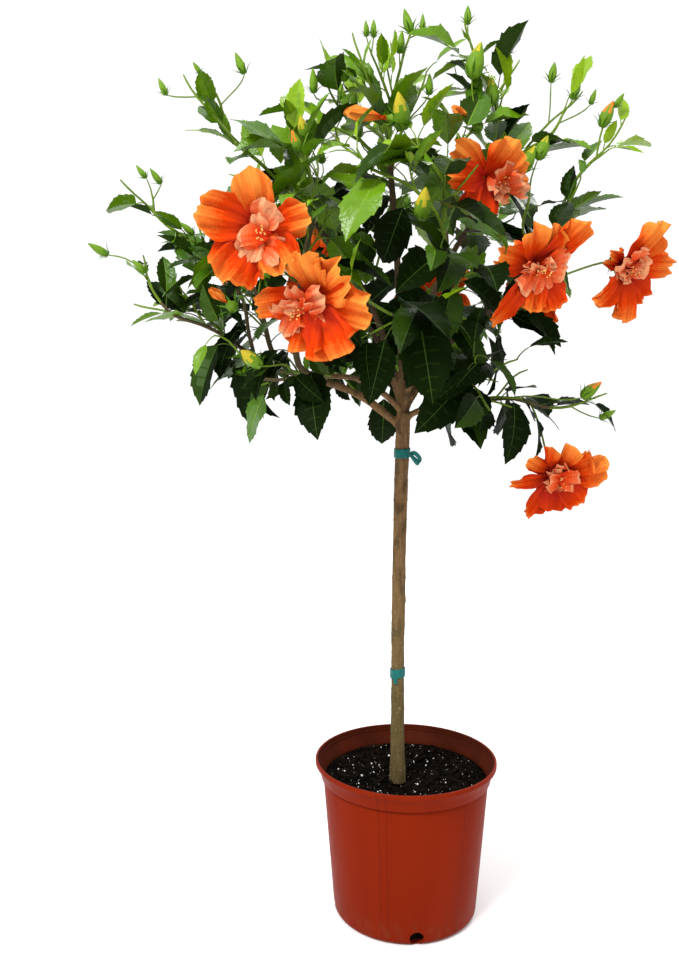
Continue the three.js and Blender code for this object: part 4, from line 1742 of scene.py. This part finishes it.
# %% Build the buds
ruff_points, ruff_faces = ruff(7, 0.0145, 0.85)
bud_places = np.array([at[bud["path"][-1]] for bud in buds])
bud_ways, bud_sizes, bud_kinds = (
    np.array([bud[key] for bud in buds]) for key in ("heading", "size", "kind")
)
bud_axes = frames(bud_ways, unit(chance.normal(size=bud_ways.shape))) * bud_sizes[:, None, None]
bud_tones = [
    leaf_finish("bud_green", (0.120, 0.235, 0.012), 0.40, 0.12),
    leaf_finish("bract_green", (0.060, 0.165, 0.006), 0.40, 0.12),
    petal_finish("bud_yellow", (0.46, 0.38, 0.030)),
    petal_finish("bud_orange", (0.66, 0.20, 0.03)),
]
# For each kind: how much plumper it is, and where along it the petals start to show.
BUD_KINDS = [(0.95, 2.0, 0), (1.30, 0.78, 2), (1.25, 0.50, 2), (1.20, 0.60, 3)]
bud_parts = [copies(ruff_points, ruff_faces, 1, bud_axes, bud_places)]
for kind, (plump, shows, colour) in enumerate(BUD_KINDS):
    chosen = bud_kinds == kind
    face_tones = np.where(bud_part > shows + 0.25 * is_lobe, colour, 0)
    shape = bud_points * (plump, 1, plump)
    bud_parts.append(copies(shape, bud_faces, face_tones, bud_axes[chosen], bud_places[chosen]))

# %% Calyces behind the blooms
CALYX_SHAPE = (1.25, 0.58, 1.25)  # broader and shorter than a bud
CALYX_BEHIND = 0.014  # metres behind the foot of the petals
bloom_ways = np.array([bloom["facing"] for bloom in BLOOMS + SPENT])
calyx_axes = frames(bloom_ways, unit(chance.normal(size=bloom_ways.shape)))
calyx_places = np.array([bloom["base"] for bloom in BLOOMS + SPENT])
calyx_places = calyx_places - bloom_ways * CALYX_BEHIND
bud_parts.append(copies(bud_points * CALYX_SHAPE, bud_faces, 0, calyx_axes, calyx_places))
bud_parts.append(copies(ruff_points * 1.4, ruff_faces, 1, calyx_axes, calyx_places))
joined("buds", bud_parts, bud_tones)

# %% [markdown]
# ## Ties
# Two turns of green tape hold the stem. Each is a flat band round the stem, thickened, and the
# upper one ends in a small bow.


# %% Wrap a tie round the stem
def tie(name, node, wraps, wide):
    low, high = box_of(node)
    centre = (low + high) / 2
    bpy.ops.object.select_all(action="DESELECT")
    bpy.ops.mesh.primitive_cylinder_add(
        vertices=48,
        radius=(high[0] - low[0]) / 2 - 0.0008,
        depth=(high[2] - low[2]) * wide,
        end_fill_type="NOTHING",
        location=centre,
    )
    band = bpy.context.active_object
    band.name = name
    bpy.ops.object.transform_apply(location=True)
    bpy.ops.object.mode_set(mode="EDIT")
    bpy.ops.mesh.select_all(action="SELECT")
    bpy.ops.mesh.subdivide(number_cuts=3)
    bpy.ops.object.mode_set(mode="OBJECT")
    points = points_of(band)
    outward = unit((points - centre) * (1, 1, 0))
    angle = np.arctan2(outward[:, 1], outward[:, 0])
    points += outward * (0.0005 * lumps(points, 0.006, 21))[:, None]
    points[:, 2] += 0.0012 * np.sin(angle + wraps)
    move_points(band, points)
    return band


# %% Lay a strip of tape
def tape(name, line, width, across):
    """A strip of tape along a line, extruded edge by edge."""
    line = np.asarray(line, float)
    across = unit(np.asarray(across, float)) * width / 2
    bpy.ops.object.select_all(action="DESELECT")
    bpy.ops.mesh.primitive_plane_add(size=1, location=(0, 0, 0))
    strip = bpy.context.active_object
    strip.name = name
    corners = points_of(strip)
    corners[:] = [line[0] - across, line[0] + across, line[1] - across, line[1] + across]
    move_points(strip, corners)
    bpy.ops.object.mode_set(mode="EDIT")
    bpy.ops.mesh.select_mode(type="VERT")
    bpy.ops.mesh.select_all(action="DESELECT")
    bpy.ops.object.mode_set(mode="OBJECT")
    for vertex in strip.data.vertices[2:4]:
        vertex.select = True
    bpy.ops.object.mode_set(mode="EDIT")
    for here, there in zip(line[1:-1], line[2:]):
        bpy.ops.mesh.extrude_region_move(TRANSFORM_OT_translate={"value": tuple(there - here)})
    bpy.ops.object.mode_set(mode="OBJECT")
    return strip


# %% Join and thicken the strips
def thicken(pieces, name, thickness=0.0009):
    """Join flat strips into one piece and give them thickness."""
    bpy.ops.object.select_all(action="DESELECT")
    for piece in pieces:
        piece.select_set(True)
    bpy.context.view_layer.objects.active = pieces[0]
    bpy.ops.object.join()
    made = bpy.context.active_object
    made.name = name
    wall = made.modifiers.new("wall", "SOLIDIFY")
    wall.thickness = thickness
    wall.offset = 0
    bpy.ops.object.modifier_apply(modifier="wall")
    soften = made.modifiers.new("soften", "SUBSURF")
    soften.levels = soften.render_levels = 1
    bpy.ops.object.modifier_apply(modifier="soften")
    return made


# %% Tie the stem
teal = Finish("teal_tape", roughness=0.35, specular_ior_level=0.2)
crease = teal.noise(220, 3, stretch=(1, 1, 0.5))
teal.set(base_color=teal.mix((0.001, 0.050, 0.045), (0.004, 0.160, 0.140), crease))
teal.relief(crease, 0.0008)

upper = box_of("tie_upper").mean(axis=0)
lower = box_of("tie_lower").mean(axis=0)
knot = upper + (0.009, -0.009, 0)
# The bow's loop and tail, in millimetres from the knot.
LOOP = [(0, 0, 0.002), (6, -3, 2), (12, -5, -3), (16, -4, -9)]
LOOP += [(16, 0, -15), (11, 2, -12), (5, 2, -5)]
TAIL = [(1, -2, 0), (5, -4, -6), (9, -5, -12), (13, -4, -17)]
loop = [knot + np.array(step) / 1000 for step in LOOP]
tail = [knot + np.array(step) / 1000 for step in TAIL]
upper_tie = thicken(
    [tie("band", "tie_upper", 0.4, 1.1), tape("loop", loop, 0.007, (0.45, -0.35, 0.65))]
    + [tape("tail", tail, 0.006, (0.8, -0.2, 0.5))],
    "tie_tape_upper",
)
low_tail = [lower + (-0.006 + 0.0008 * i, -0.0115, -0.0035 * i) for i in range(5)]
lower_tie = thicken(
    [tie("band", "tie_lower", 2.0, 1.5), tape("tail", low_tail, 0.006, (1, 0.1, 0.1))],
    "tie_tape_lower",
)
finish_piece(upper_tie, [teal], ["tie_upper"], angle=60)
finish_piece(lower_tie, [teal], ["tie_lower"], angle=60)

# %% [markdown]
# ## Measure
# Both boxes, the CAD's and the dressed plant's, are printed side by side.

# %% Write the sizes and finish
final_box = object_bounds()
boxes = {"cad": cad_box, "visual": final_box}
{k: [list(map(float, corner)) for corner in v] for k, v in boxes.items()}
for key, corner_pair in boxes.items():
    print(key, [[round(float(n), 4) for n in corner] for corner in corner_pair])
